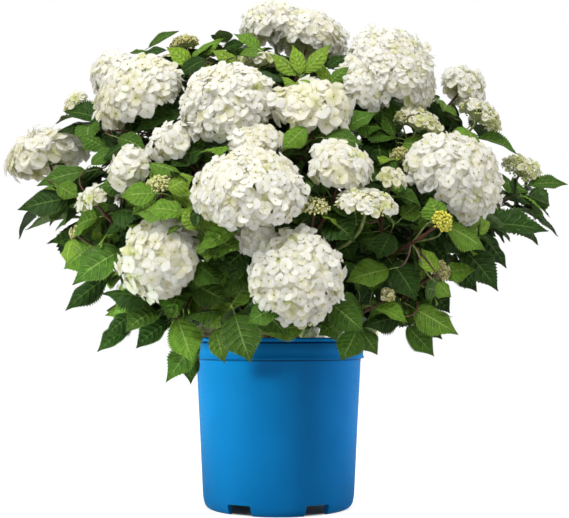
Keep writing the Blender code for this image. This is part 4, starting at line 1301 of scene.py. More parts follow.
def dome_places(tip, layer, rng, unit_size=1.0):
    """Even places on a flower head, the ways out of it there, and how near its top they are."""
    spacing, depth = layer.spacing * unit_size, layer.depth * unit_size
    wide, high, low = tip.width / 2, tip.rise * 0.54, tip.rise * 0.50
    p = 1.6  # Thomsen's power for the surface of an ellipsoid
    mean = (high + low) / 2
    whole = 4 * pi * (((wide * wide) ** p + 2 * (wide * mean) ** p) / 3) ** (1 / p)
    least = cos(radians(layer.reach))
    count = max(6, int(whole * (1 - least) / 2 / (0.87 * spacing**2)))
    k = np.arange(count) + 0.5
    cosine = 1 - k / count * (1 - least)
    sine = np.sqrt(1 - cosine**2)
    turn = k * pi * (3 - sqrt(5)) + rng.uniform(0, 2 * pi)
    turn = turn + rng.normal(0, 0.10, count)
    out = np.stack([sine * np.cos(turn), sine * np.sin(turn), cosine], axis=1)
    ways = unit(rng.normal(0, 1, (LUMPS_EACH, 3)) * (1, 1, 0.8))
    bumps = np.exp((out @ ways.T - 1) / LUMP_SPREAD) * rng.uniform(-0.7, 1.0, LUMPS_EACH)
    bumps = bumps * layer.lumps
    swell = bumps.sum(1) - bumps.sum(1).mean()
    even = min(1.0, 0.11 / swell.max())  # no bump stands out further
    swell = 1 + swell * even
    slope = even * bumps @ ways / LUMP_SPREAD
    slope = slope - out * np.sum(slope * out, axis=1)[:, None]
    height = np.where(cosine > 0, high, low)
    sizes = np.stack([np.full(count, wide), np.full(count, wide), height], axis=1)
    local = out * (sizes - depth) * swell[:, None]
    normals = unit(out / sizes**1.4) - slope * 0.7
    normals[:, 2] += 0.45 * np.clip((0.5 - cosine) / 0.4, 0, 1)  # the rim flares
    turn = np.array(UP.rotation_difference(axis_of(tip)).to_matrix())
    normals = unit(normals) @ turn.T
    place = np.array(place_of(tip))
    facing = unit(np.array([place[0], place[1] - 0.08, 0.0])[None])
    normals = unit(normals * (1, 1, 0.8) + facing * 0.34 * np.clip(normals[:, 2:], 0, 1))
    return place + local @ turn.T, normals, cosine


def tipped(normals, spread, rng):
    """The normals, each tipped a little at random."""
    return unit(normals + rng.normal(0, spread, normals.shape))


def pedicels(foot, ends, thickness):
    """Thin three-sided stalks from a shoot's end to each floret."""
    ways = ends - foot
    middle = foot + ways * 0.5
    middle = middle - (middle - foot - np.mean(middle - foot, axis=0)) * PEDICEL_BEND * 0.5
    x = square_to(ways)
    y = unit(np.cross(ways, x))
    rings = []
    for place, size in ((foot + ways * 0.04, 1.6), (middle, 1.0), (ends, 0.8)):
        for k in range(3):
            angle = 2 * pi * k / 3
            rings.append(place + (x * cos(angle) + y * sin(angle)) * thickness * size)
    return np.stack(rings, axis=1)


# ---------------------------------------------------------------- materials
class Graph:
    """A material's nodes, made from short calls."""

    def __init__(self, name, roughness, specular=0.5):
        self.material = bpy.data.materials.new(name)
        self.material.use_nodes = True
        self.tree = self.material.node_tree
        self.shader = self.tree.nodes["Principled BSDF"]
        self.shader.inputs["Roughness"].default_value = roughness
        self.shader.inputs["Specular IOR Level"].default_value = specular

    def put(self, socket, value):
        """Sets a socket, or links it to another one."""
        if isinstance(value, bpy.types.NodeSocket):
            self.tree.links.new(value, socket)
        else:
            socket.default_value = value

    def node(self, kind, inputs=None, **settings):
        """A node with these inputs and settings."""
        made = self.tree.nodes.new("ShaderNode" + kind)
        for key, value in settings.items():
            setattr(made, key, value)
        for key, value in (inputs or {}).items():
            self.put(made.inputs[key], value)
        return made

    def math(self, operation, *values):
        """A sum or another operation on one or two values."""
        made = self.node("Math", operation=operation)
        for socket, value in zip(made.inputs, values):
            self.put(socket, value)
        return made.outputs[0]

    def times(self, *values):
        return self.math("MULTIPLY", *values)

    def plus(self, *values):
        return self.math("ADD", *values)

    def minus(self, *values):
        return self.math("SUBTRACT", *values)

    def larger(self, *values):
        return self.math("MAXIMUM", *values)

    def fade(self, value, low, high, start=0.0, end=1.0):
        """start where the value is low, end where it is high, and between them between."""
        places = {0: value, 1: low, 2: high, 3: start, 4: end}
        return self.node("MapRange", places, interpolation_type="SMOOTHSTEP").outputs[0]

    def mix(self, share, first, second):
        """The first colour, with a share of the second in it."""
        made = self.node("Mix", data_type="RGBA")
        self.put(made.inputs[0], share)
        self.put(made.inputs[6], (*first, 1) if isinstance(first, tuple) else first)
        self.put(made.inputs[7], (*second, 1) if isinstance(second, tuple) else second)
        return made.outputs[2]

    def uv(self):
        """Place along and place across of a blade or petal, from its UV map."""
        mapped = self.node("UVMap", uv_map=UV_MAP).outputs[0]
        split = self.node("SeparateXYZ", {0: mapped})
        across = self.times(self.minus(split.outputs[0], 0.5), 1 / UV_HALF)
        along = self.times(self.minus(split.outputs[1], UV_FOOT), 1 / UV_LENGTH)
        return mapped, along, across

    def noise(self, vector, scale, detail=3.0, roughness=0.5):
        """Cloudy noise from 0 to 1."""
        places = {"Vector": vector, "Scale": scale, "Detail": detail, "Roughness": roughness}
        return self.node("TexNoise", places).outputs[0]

    def place(self, stretch=(1, 1, 1)):
        """Coordinates on the object, stretched."""
        coordinates = self.node("TexCoord").outputs["Object"]
        return self.node("Mapping", {"Vector": coordinates, "Scale": stretch}).outputs[0]

    def colour(self, value):
        self.put(self.shader.inputs["Base Color"], value)

    def rough(self, value):
        self.put(self.shader.inputs["Roughness"], value)

    def bump(self, height, strength, distance):
        """Relief on the surface, from its height."""
        made = self.node("Bump", {"Height": height, "Strength": strength, "Distance": distance})
        self.put(self.shader.inputs["Normal"], made.outputs[0])

    def through(self, share, colour):
        """Lets a share of the light pass, as a thin sheet of tissue does."""
        passed = self.node("BsdfTranslucent", {"Color": colour}).outputs[0]
        both = self.node("MixShader", {0: share, 1: self.shader.outputs[0], 2: passed}).outputs[0]
        self.put(self.tree.nodes["Material Output"].inputs["Surface"], both)

    def socket(self, **values):
        for key, value in values.items():
            self.shader.inputs[key.replace("_", " ")].default_value = value


def shade(colour, factor):
    """The colour, made darker or lighter."""
    return tuple(min(1.0, c * factor) for c in colour)


def leaf_material(name, colour, vein, roughness, underside=False):
    """A leaf's face: sunk veins a little paler, tissue that swells and mottles between them, with painted
    highlight where it swells and along the margin.
    """
    g = Graph(name, roughness, 0.17)
    mapped, along, across = g.uv()
    side = g.math("ABSOLUTE", across)
    slant = g.times(g.math("POWER", side, 1.15), VEIN_SLANT)
    phase = g.times(g.minus(along, slant), SIDE_VEINS)
    off = g.math("PINGPONG", phase, 0.5)
    branch = g.times(g.fade(off, 0.012, 0.072, 1, 0), g.fade(side, 0.25, 0.95, 1, 0.15))
    midrib = g.fade(side, 0.022, 0.070, 1, 0)
    veins = g.larger(branch, midrib)
    net = g.node("TexVoronoi", {"Vector": mapped, "Scale": 30.0}, feature="DISTANCE_TO_EDGE").outputs[0]
    mesh = g.fade(net, 0.0, 0.10, 1, 0)
    mottle = g.noise(mapped, 7.0, 4.0, 0.65)
    swell = g.fade(off, 0.0, 0.5)
    tissue = g.mix(g.fade(mottle, 0.3, 0.7), shade(colour, 0.56), shade(colour, 1.26))
    # painted highlight: the tissue is paler where it swells between the veins
    tissue = g.mix(g.times(swell, 0.32), tissue, shade(colour, 1.5))
    tissue = g.mix(g.times(mesh, 0.20), tissue, vein)
    # painted highlight: a paler line along the leaf's margin
    edge = g.times(g.fade(side, 0.88, 1.0), 0.40)
    g.colour(g.mix(g.larger(edge, g.times(veins, 0.68)), tissue, vein))
    relief = g.minus(g.times(swell, 0.7), g.times(mesh, 0.25))
    relief = g.minus(relief, g.times(veins, 0.6))
    if underside:
        relief = g.times(relief, -1.0)
    g.rough(g.fade(mottle, 0.3, 0.7, roughness - 0.05, roughness + 0.09))
    g.bump(relief, 0.9, 0.0013)
    return g.material


def petal_material(name, colour, base, vein):
    """A petal-like sepal: its base greener, with faint veins that spread from it, and a painted shadow
    line round its edges and tip.
    """
    g = Graph(name, 0.62, 0.35)
    mapped, along, across = g.uv()
    share = g.fade(along, 0.04, 0.60, 1, 0)
    mottle = g.noise(mapped, 4.0, 3.0)
    ribs = g.math("PINGPONG", g.times(across, 3.5), 0.5)
    lines = g.fade(ribs, 0.0, 0.16, 1, 0)
    face = g.mix(mottle, colour, shade(colour, 0.95))
    face = g.mix(g.times(lines, 0.14), face, vein)
    # painted shadow: a darker line along each petal's edges and tip, where the petals overlap
    rim = g.larger(g.fade(g.math("ABSOLUTE", across), 0.72, 1.0), g.fade(along, 0.88, 1.0))
    face = g.mix(g.times(rim, 0.50), face, shade(base, 0.70))
    face = g.mix(g.times(share, 0.85), face, base)
    g.colour(face)
    g.through(0.48, face)
    g.bump(g.minus(mottle, g.times(lines, 0.5)), 0.25, 0.0003)
    return g.material


def grain_material(name, dark, light, roughness, scale, stretch=(1, 1, 1), strength=0.4, distance=0.0005):
    """A surface with a fine grain: stems, bark, buds and earth."""
    g = Graph(name, roughness, 0.35)
    place = g.place(stretch)
    coarse = g.noise(place, scale, 4.0, 0.6)
    fine = g.noise(place, scale * 5, 3.0, 0.6)
    share = g.fade(g.plus(g.times(coarse, 0.7), g.times(fine, 0.3)), 0.36, 0.66)
    g.colour(g.mix(share, dark, light))
    g.rough(g.fade(fine, 0.3, 0.7, roughness - 0.06, roughness + 0.06))
    g.bump(g.plus(coarse, g.times(fine, 0.5)), strength, distance)
    return g.material


def stem_material(name, dark, light):
    """A soft young stem with long streaks and small pale pores."""
    g = Graph(name, 0.46, 0.45)
    streaks = g.noise(g.place((1, 1, 0.2)), 260.0, 4.0, 0.6)
    pores = g.node("TexVoronoi", {"Vector": g.place((1, 1, 0.6)), "Scale": 330.0}).outputs["Distance"]
    dots = g.fade(pores, 0.10, 0.26, 1, 0)
    face = g.mix(g.fade(streaks, 0.35, 0.65), dark, light)
    g.colour(g.mix(g.times(dots, 0.35), face, shade(light, 1.7)))
    g.bump(g.plus(streaks, dots), 0.35, 0.0003)
    return g.material


def plastic_material():
    """Blown plastic: even blue, a faint orange-peel skin and light rubbing, with painted shade in the
    rim's groove, under the band's ledge, on the band's upper part and towards the foot.
    """
    g = Graph("pot_plastic", 0.48, 0.08)
    place = g.place()
    cloud = g.noise(place, 9.0, 3.0)
    skin = g.noise(place, 900.0, 2.0)
    rubs = g.noise(g.place((1, 1, 7)), 55.0, 5.0, 0.65)
    blue = g.mix(g.fade(cloud, 0.3, 0.7), (0.0002, 0.139, 0.395), (0.0004, 0.158, 0.440))
    blue = g.mix(g.times(g.fade(rubs, 0.60, 0.80), 0.08), blue, (0.01, 0.24, 0.55))
    height = g.node("SeparateXYZ", {"Vector": place}).outputs[2]

    def line(middle, half):
        """1 at this height, and 0 further from it than half."""
        return g.fade(g.math("ABSOLUTE", g.minus(height, middle)), 0.0004, half, 1, 0)

    # painted shade: a dark line in the rim's groove, a painted shadow under the band's ledge, and the
    # band's upper part darker
    groove = line(POT_HEIGHT - 0.0060, 0.0016)
    under = line(POT_HEIGHT - LIP_DEPTH - 0.0010, 0.0018)
    upper = g.fade(height, POT_HEIGHT - 0.020, POT_HEIGHT - 0.006, 0, 0.6)
    upper = g.times(upper, g.fade(height, POT_HEIGHT - 0.0060, POT_HEIGHT - 0.0048, 1, 0))
    painted_shade = g.larger(g.larger(groove, under), upper)
    # painted shade: the wall darker towards the foot
    painted_shade = g.larger(painted_shade, g.fade(height, 0.01, 0.15, 0.30, 0))
    g.colour(g.mix(g.times(painted_shade, 0.78), blue, (0.0004, 0.022, 0.070)))
    g.rough(g.fade(rubs, 0.35, 0.75, 0.42, 0.56))
    g.bump(g.plus(g.times(skin, 0.5), rubs), 0.12, 0.0003)
    return g.material


# ---------------------------------------------------------------- camera, light and floor
SENSOR_WIDTH = 36.0
WORLD_LIGHT = 0.46
LIGHTS = {  # place, aim, size, watts, colour, spread in degrees, and whether it is mirrored
    "high": ((-0.35, -1.45, 2.0), (0, 0, 0.45), (1.4, 1.0), 47, (1.0, 0.995, 0.985), 180, True),
    "side_left": ((-2.2, -1.0, 0.95), (-0.1, 0, 0.48), (1.0, 1.0), 9, (1, 1, 1), 180, True),
    "side_right": ((2.2, -0.9, 0.95), (0.1, 0, 0.48), (1.0, 1.0), 8, (1, 1, 1), 180, True),
    "back": ((0.2, 1.3, 2.0), (0, 0, 0.42), (1.8, 1.4), 16, (1, 1, 1), 180, True),
    "low_left": ((-1.70, -0.64, 0.18), (0, 0, 0.17), (0.2, 0.2), 0.50, (0.95, 1.20, 1.0), 20, False),
    "low_right": ((1.70, 0.55, 0.18), (0, 0, 0.17), (0.2, 0.2), 0.42, (1, 1, 1), 20, False),
}


def look_at(placed, point):
    """Turns a light so that it points there."""
    way = Vector(point) - placed.location
    placed.rotation_euler = way.to_track_quat("-Z", "Y").to_euler()


def add_camera():
    """The camera of the front view."""
    camera = bpy.data.cameras.new("camera")
    camera.sensor_width = SENSOR_WIDTH
    camera.lens = FOCAL_PIXELS / VIEW_WIDTH * SENSOR_WIDTH
    camera.clip_start = 0.05
    placed = bpy.data.objects.new("camera", camera)
    placed.location = SEEN_FROM
    placed.rotation_euler = (radians(90 + CAMERA_PITCH), 0, 0)
    bpy.context.scene.collection.objects.link(placed)
    bpy.context.scene.camera = placed


def add_light(name, place, aim, size, watts, colour, spread, mirrored):
    """A soft rectangular light."""
    light = bpy.data.lights.new(name, "AREA")
    light.shape, light.size, light.size_y = "RECTANGLE", *size
    light.energy, light.color, light.spread = watts, colour, radians(spread)
    placed = bpy.data.objects.new(name, light)
    placed.location = place
    look_at(placed, aim)
    placed.visible_glossy = mirrored
    bpy.context.scene.collection.objects.link(placed)


def add_studio():
    """A white room, seen brighter than it lights, and the lights in it."""
    world = bpy.data.worlds.new("studio")
    world.use_nodes = True
    bpy.context.scene.world = world
    tree = world.node_tree
    back = tree.nodes["Background"]
    back.inputs["Color"].default_value = (1, 1, 1, 1)
    seen = tree.nodes.new("ShaderNodeLightPath").outputs["Is Camera Ray"]
    share = tree.nodes.new("ShaderNodeMapRange")
    tree.links.new(seen, share.inputs[0])
    share.inputs[3].default_value = WORLD_LIGHT
    share.inputs[4].default_value = 1.0
    tree.links.new(share.outputs[0], back.inputs["Strength"])
    for name, settings in LIGHTS.items():
        add_light(name, *settings)
    bpy.context.scene.view_settings.view_transform = "Standard"
    bpy.context.scene.view_settings.look = "None"


def add_floor():
    """A plain pale sheet with a fine matt grain, lit up round the pot but not under it."""
    g = Graph("floor_paper", 0.9, 0.2)
    grain = g.noise(g.place(), 60.0, 4.0)
    g.colour(g.mix(grain, (0.47, 0.47, 0.47), (0.51, 0.51, 0.51)))
    seen = g.node("LightPath").outputs["Is Camera Ray"]
    flat = g.node("VectorMath", {0: g.place((1, 1, 0))}, operation="LENGTH").outputs["Value"]
    near = g.times(seen, g.fade(flat, 0.085, 0.105, 0, 0.80))
    far = g.times(g.minus(1.0, seen), g.fade(flat, 0.2, 0.8, 0, 0.28))
    g.put(g.shader.inputs["Emission Strength"], g.plus(near, far))
    g.socket(Emission_Color=(1, 1, 1, 1))
    x, y = np.meshgrid(np.linspace(-8, 8, 17), np.linspace(-8, 8, 17))
    points = np.stack([x, y, 0 * x], axis=-1).reshape(-1, 3)
    floor = mesh_object("floor", points, [grid_faces(17, 17)], None, g.material, smooth=False)


# ---------------------------------------------------------------- the pot
POT_LEAN = (POT_TOP_RADIUS - POT_FOOT_RADIUS) / (POT_HEIGHT - LIP_DEPTH - FOOT_ROUNDING)
FLOOR_TOP = FLOOR_UNDERSIDE + POT_WALL
BAND_FOOT = POT_HEIGHT - LIP_DEPTH
POT_SIDES = 168
NOTCH_CORNER = 0.0026  # radius
NOTCH_REACH = (POT_FOOT_RADIUS - 0.020, POT_FOOT_RADIUS + 0.010)

# Outlines, each as places out from a radius and up from a height.
FOOT_RING = ((-0.0150, 0), (-0.0132, -0.0012), (-0.0120, -0.0035))
BAND_EDGE = (
    (-0.0010, 0), (0.0004, 0.0004), (0.0008, 0.0013),
    (0.0006, 0.0026), (-0.0002, 0.0038), (-0.0003, 0.0100),
)
ROLLED_EDGE = (
    (-0.0002, -0.0075), (-0.0012, -0.0068), (-0.0032, -0.0060),
    (-0.0012, -0.0050), (0.0008, -0.0043), (0.0013, -0.0035),
    (0.0012, -0.0015), (0.0007, -0.0004), (-0.0004, 0),
)
INNER_EDGE = ((0.0014, 0), (0.0003, -0.0006), (0, -0.0020))


def offset_from(radius, height, offsets):
    """The places of an outline that is given out from a radius and up from a height."""
    return [(radius + out, height + up) for out, up in offsets]


def pot_profile():
    """The turned outline of the pot, underside first, with rounded edges."""
    band = POT_TOP_RADIUS + LIP_PROUD
    foot, top = POT_FOOT_RADIUS, POT_TOP_RADIUS
    inner_top, inner_foot = top - POT_WALL, foot - POT_WALL
    profile = [(0.0, FLOOR_UNDERSIDE)] + offset_from(foot, FLOOR_UNDERSIDE, FOOT_RING)
    profile += offset_from(foot, 0, ((-0.0115, 0.0010), (-0.0108, 0)))
    for i in range(9):
        angle = radians(i * 90 / 8)
        profile.append((foot - 0.0085 + 0.0085 * sin(angle) - 0.0003, 0.0165 * (1 - cos(angle))))
    for i in range(12):
        share = i / 12
        height = FOOT_ROUNDING + (BAND_FOOT - FOOT_ROUNDING) * share
        profile.append((foot + (top - foot) * share, height))
    profile += offset_from(top, BAND_FOOT, ((-0.0001, -0.0016), (0.0006, -0.0003)))
    profile += offset_from(band, BAND_FOOT, BAND_EDGE)
    profile += offset_from(band, POT_HEIGHT, ROLLED_EDGE)
    profile += offset_from(inner_top, POT_HEIGHT, INNER_EDGE)
    profile.append((inner_top - POT_LEAN * 0.010, BAND_FOOT - 0.010))
    profile.append((inner_foot + POT_LEAN * 0.006, FLOOR_TOP + 0.006))
    return profile + [(inner_foot - 0.0035, FLOOR_TOP), (0.0, FLOOR_TOP)]


def turned_mesh(profile, sides):
    """Points and faces of a profile turned about Z; it starts and ends on the axis."""
    radius = np.array([r for r, _ in profile[1:-1]])
    height = np.array([z for _, z in profile[1:-1]])
    angle = 2 * pi * (np.arange(sides) + 0.5) / sides
    x, y = np.outer(radius, np.cos(angle)), np.outer(radius, np.sin(angle))
    rings = np.stack([x, y, np.outer(height, np.ones(sides))], axis=-1).reshape(-1, 3)
    points = np.concatenate([rings, [(0, 0, profile[0][1]), (0, 0, profile[-1][1])]])
    low, high = len(points) - 2, len(points) - 1
    last = (len(radius) - 1) * sides
    caps = [(low, (i + 1) % sides, i) for i in range(sides)]
    caps += [(high, last + i, last + (i + 1) % sides) for i in range(sides)]
    return points, [grid_faces(len(radius), sides, wrap=True), np.array(caps)]


def notch_cutter(number, material):
    """A block with rounded upper corners, as large as a drain notch and across the foot ring."""
    half, corner = NOTCH_WIDTH / 2, NOTCH_CORNER
    outline = [(-half, -0.006), (half, -0.006)]
    for k in range(6):
        angle = radians(k * 18)
        across, up = corner * cos(angle), corner * sin(angle)
        outline.append((half - corner + across, NOTCH_HEIGHT - corner + up))
    outline += [(-y, z) for y, z in outline[:1:-1]]
    count = len(outline)
    points = np.array([(r, y, z) for r in NOTCH_REACH for y, z in outline])
    edges = [(k, (k + 1) % count) for k in range(count)]
    sides = np.array([(a, b, b + count, a + count) for a, b in edges])
    ends = np.array([tuple(reversed(range(count))), tuple(range(count, 2 * count))])
    cutter = mesh_object(f"cutter_{number}", points, [sides, ends], None, material, smooth=False)
    cutter.rotation_euler.z = 2 * pi * (number + 0.5) / NOTCHES + pi / 2
    return cutter


def build_pot():
    """The pot, fine and round, with six rounded drain notches through its foot ring."""
    profile = turned_mesh(pot_profile(), POT_SIDES)
    pot = mesh_object("nursery_pot", *profile, None, plastic_material())
    cutters = [notch_cutter(i, pot.data.materials[0]) for i in range(NOTCHES)]
    for cutter in cutters:
        cut = pot.modifiers.new("cut", "BOOLEAN")
        cut.operation, cut.object = "DIFFERENCE", cutter
    graph = bpy.context.evaluated_depsgraph_get()
    cut_mesh = bpy.data.meshes.new_from_object(pot.evaluated_get(graph))
    pot.modifiers.clear()
    pot.data = cut_mesh
    for cutter in cutters:
        bpy.data.objects.remove(cutter)
    pot.data.shade_smooth()
    pot.data.set_sharp_from_angle(angle=radians(50))
    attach(pot, "root")
    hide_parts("pot")


MIX_SPREAD = (0.045, 0.104)  # how far from the axis the crumbs lie
MIX_EDGE = 0.092  # beyond this the top slopes down
CRUMBS = {  # piece: how many, least and largest size, and stretch
    "mix_chips": (520, (0.0018, 0.0050), (1.0, 0.55, 0.32)),
    "mix_perlite": (150, (0.0009, 0.0021), (1.0, 0.9, 0.8)),
}
CRUMB_MATERIALS = {  # piece: name, dark and light colours, roughness and scale
    "mix_chips": ("mix_bark", (0.035, 0.018, 0.010), (0.16, 0.085, 0.045), 0.9, 700.0),
    "mix_perlite": ("mix_perlite", (0.62, 0.60, 0.55), (0.85, 0.84, 0.80), 0.9, 900.0),
}


def mix_profile():
    """The turned outline of the mix, underside first."""
    floor = FLOOR_TOP + GAP
    foot = POT_FOOT_RADIUS - POT_WALL - 0.0006
    edge = MIX_TOP - 0.004
    profile = [(0.0, floor), (foot - 0.0045, floor), (foot + POT_LEAN * 0.004, floor + 0.008)]
    profile.append((foot + POT_LEAN * (edge - floor - 0.004), edge))
    for i in range(1, 22):
        radius = foot * (1 - i / 22) + 0.004
        profile.append((radius, min(MIX_TOP, edge + 0.004 * min(1, i / 4)) - 0.0015))
    return profile + [(0.0, MIX_TOP - 0.0015)]


def crumbs(count, sizes, stretch, rng):
    """Points of small lumps that lie about on the mix, (lumps, points of one, 3)."""
    nearest, furthest = MIX_SPREAD
    radius = np.sqrt(rng.uniform(nearest**2, furthest**2, count))
    turn = rng.uniform(0, 2 * pi, count)
    size = rng.uniform(*sizes, count)[:, None, None]
    height = np.full(count, MIX_TOP - 0.0012)
    height -= np.where(radius > MIX_EDGE, (radius - MIX_EDGE) * 0.30, 0)
    centre = np.stack([radius * np.cos(turn), radius * np.sin(turn), height], axis=1)
    normals = tipped(np.tile((0.0, 0.0, 1.0), (count, 1)), 0.5, rng)
    x = unit(np.cross(normals, tipped(np.tile((1.0, 0.0, 0.0), (count, 1)), 0.9, rng)))
    y = np.cross(normals, x)
    form = BEAD[None] * size * np.array(stretch)
    form = form * rng.uniform(0.7, 1.25, (count, len(BEAD), 1))
    points = centre[:, None] + x[:, None] * form[..., :1] + y[:, None] * form[..., 1:2]
    return points + normals[:, None] * form[..., 2:]


def build_mix():
    """Potting mix with a crumbly top, bark chips and white perlite."""
    rng = draws("mix")
    tints = ((0.012, 0.008, 0.006), (0.060, 0.038, 0.025))
    earth = grain_material("potting_mix", *tints, 0.95, 300.0, strength=0.8, distance=0.001)
    points, faces = turned_mesh(mix_profile(), 96)
    top = points[:, 2] > MIX_TOP - 0.006
    x, y = points[:, 0], points[:, 1]
    lumps = np.sin(310 * x + 3 * np.sin(190 * y)) * np.sin(270 * y + 2 * np.sin(230 * x))
    grain = rng.uniform(-0.0006, 0.0006, len(points))
    points[:, 2] += np.where(top, 0.0011 * lumps + grain, 0)
    mix = mesh_object("potting_mix_fill", points, faces, None, earth)
    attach(mix, "root")
    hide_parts("potting_mix")
    for name, form in CRUMBS.items():
        joined = Joined()
        joined.add(crumbs(*form, rng), BEAD_FACES)
        joined.piece(name, grain_material(*CRUMB_MATERIALS[name]), "mix", smooth=False)


# ---------------------------------------------------------------- wood and stems
def bark_relief(amount, seed):
    """Long shallow ridges and a few rings of torn bark round a limb."""

    def relief(rings, sides):
        rng = draws(seed)
        along = np.arange(rings)[:, None]
        round_it = round_angles(sides)[None]
        phase = rng.uniform(0, 2 * pi, 4)
        ridges = np.sin(5 * round_it + phase[0] + 0.35 * np.sin(along * 0.5 + phase[1]))
        rings_of = np.sin(along * 0.9 + 1.2 * np.sin(round_it + phase[2]) + phase[3])
        return amount * (0.6 * ridges + 0.4 * rings_of + rng.uniform(-0.6, 0.6, (rings, sides)))

    return relief


CANE_RINGS, CANE_ROUND = 35, 12
CROWN_FOOT = MIX_TOP + GAP


def build_canes(canes, bark):
    """The canes, thicker at the foot, with bark relief."""
    joined = Joined()
    radii = (CANE_FOOT_RADIUS, CANE_TIP_RADIUS)
    for name, limb, start_way, way in canes:
        start = limb.path[0] - start_way * 0.004
        end = limb.path[-1] + way * GAP * 2
        fine = limb_between(start, start_way, end, way, CANE_RINGS - 1, radii)
        sizes = [r * (1 + 0.35 * max(0, 1 - i / 3)) for i, r in enumerate(fine.radii)]
        points = tube_points(fine.path, sizes, CANE_ROUND, bark_relief(0.09, name))
        joined.add(points, tube_faces(CANE_RINGS, CANE_ROUND))
    joined.piece("canes", bark, "bark", *CANE_NODES)


def crown_profile():
    """The turned outline of the root crown: a flare on the mix, and a knob above it."""
    flare, foot = CROWN_FLARE_RADIUS, CROWN_FOOT
    profile = [(0.0, foot)] + offset_from(flare, foot, ((0, 0), (-0.002, 0.0018), (-0.0058, 0.0042)))
    profile.append((CROWN_RADIUS + 0.0035, foot + 0.0070))
    for degrees in range(-4, 90, 5):
        angle = radians(degrees)
        height = CROWN_CENTRE.z + CROWN_RADIUS * sin(angle)
        profile.append((CROWN_RADIUS * cos(angle), height))
    return profile + [(0.0, CROWN_CENTRE.z + CROWN_RADIUS)]


def build_root_crown(bark):
    """The knotty root crown on the mix."""
    points, faces = turned_mesh(crown_profile(), 72)
    turn = np.arctan2(points[:, 1], points[:, 0])
    height = points[:, 2]
    knots = np.sin(9 * turn + 2 * np.sin(height * 260)) * 0.5
    knots = knots + np.sin(23 * turn + 3 * np.sin(height * 190)) * 0.35
    swell = 1 + 0.045 * knots + draws("crown").uniform(-0.015, 0.015, len(points))
    above = height > CROWN_FOOT + 0.001
    points[:, :2] *= np.where(above, swell, 1)[:, None]
    crown = mesh_object("root_crown", points, faces, None, bark)
    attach(crown, "root")
    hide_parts("woody_crown")


def build_crown_and_canes(canes):
    """The wood below the shoots."""
    tints = ((0.060, 0.034, 0.022), (0.230, 0.140, 0.090))
    bark = grain_material("cane_bark", *tints, 0.85, 420.0, (1, 1, 0.22), 0.7, 0.0008)
    build_canes(canes, bark)
    build_root_crown(bark)


STEM_TINTS = {  # dark and light
    "red": ((0.042, 0.015, 0.010), (0.125, 0.052, 0.028)),
    "green": ((0.075, 0.110, 0.025), (0.200, 0.250, 0.070)),
}
STEM_ROUND, SPRIG_ROUND = 8, 5
NODE_SWELL = 1.28  # where leaves stand on a shoot


def build_stems(grown, sprigs):
    """The stems, the side shoots and the fine twigs: old ones red-brown, young ones green."""
    stems = {tint: Joined() for tint in STEM_TINTS}
    for name, shoots in grown.items():
        rng = Random(f"{SEED} {name} stems")
        for number, shoot in enumerate(shoots):
            fine = fine_shoot(shoot, number)
            sizes = list(fine.radii)
            for leaf in shoot.leaves[::2]:
                far = [(place - leaf.foot).length_squared for place in fine.path]
                sizes[far.index(min(far))] *= NODE_SWELL
            tint = "green" if rng.random() < 0.45 and number else "red"
            points = tube_points(fine.path, sizes, STEM_ROUND)
            stems[tint].add(points, tube_faces(len(sizes), STEM_ROUND))
    for sprig in sprigs:
        points = tube_points(sprig.path, sprig.radii, SPRIG_ROUND)
        stems[sprig.kind].add(points, tube_faces(len(sprig.path), SPRIG_ROUND))
    for tint, colours in STEM_TINTS.items():
        material = stem_material(f"stem_{tint}", *colours)
        stems[tint].piece(f"stems_{tint}", material, "foliage", *FOLIAGE_NODES)


# ---------------------------------------------------------------- the pieces of leaves
LEAF_TINTS = {  # base colour, vein colour and roughness
    "bright": ((0.205, 0.360, 0.022), (0.46, 0.60, 0.16), 0.44),
    "fresh": ((0.105, 0.231, 0.013), (0.35, 0.48, 0.13), 0.42),
    "green": ((0.0465, 0.126, 0.0065), (0.260, 0.390, 0.105), 0.40),
    "deep": ((0.0130, 0.047, 0.0022), (0.135, 0.230, 0.052), 0.38),
}
UNDERSIDE_OF = {"bright": "pale", "fresh": "pale", "green": "dull", "deep": "dull"}
STALK_OF = {"bright": "pale", "fresh": "pale", "green": "pale", "deep": "red"}

UNDERSIDES = {  # piece, material, tissue and vein colours
    "pale": ("leaf_undersides_pale", "leaf_under_pale", (0.17, 0.29, 0.08), (0.34, 0.44, 0.18)),
    "dull": ("leaf_undersides", "leaf_under", (0.085, 0.165, 0.050), (0.22, 0.32, 0.13)),
}
STALKS = {  # piece, material, dark and light colours
    "pale": ("leaf_stalks_green", "stalk_green", (0.13, 0.20, 0.04), (0.28, 0.36, 0.12)),
    "red": ("leaf_stalks_red", "stalk_red", (0.11, 0.075, 0.025), (0.24, 0.20, 0.08)),
}
LEAF_KINDS = {  # face, underside, and the stalk's rings and sides
    "large": (LARGE_LEAF, (7, (0.0, 1.0)), (7, 4)),
    "small": (SMALL_LEAF, (5, (0.0, 1.0)), (5, 3)),
    "posed": (POSED_LEAF, (7, (0.0, 1.0)), (7, 4)),
    "posed small": (POSED_LEAF, (5, (0.0, 1.0)), (5, 3)),
}
UNDERSIDE_SINK, UNDERSIDE_NARROWER = 0.0009, 0.93


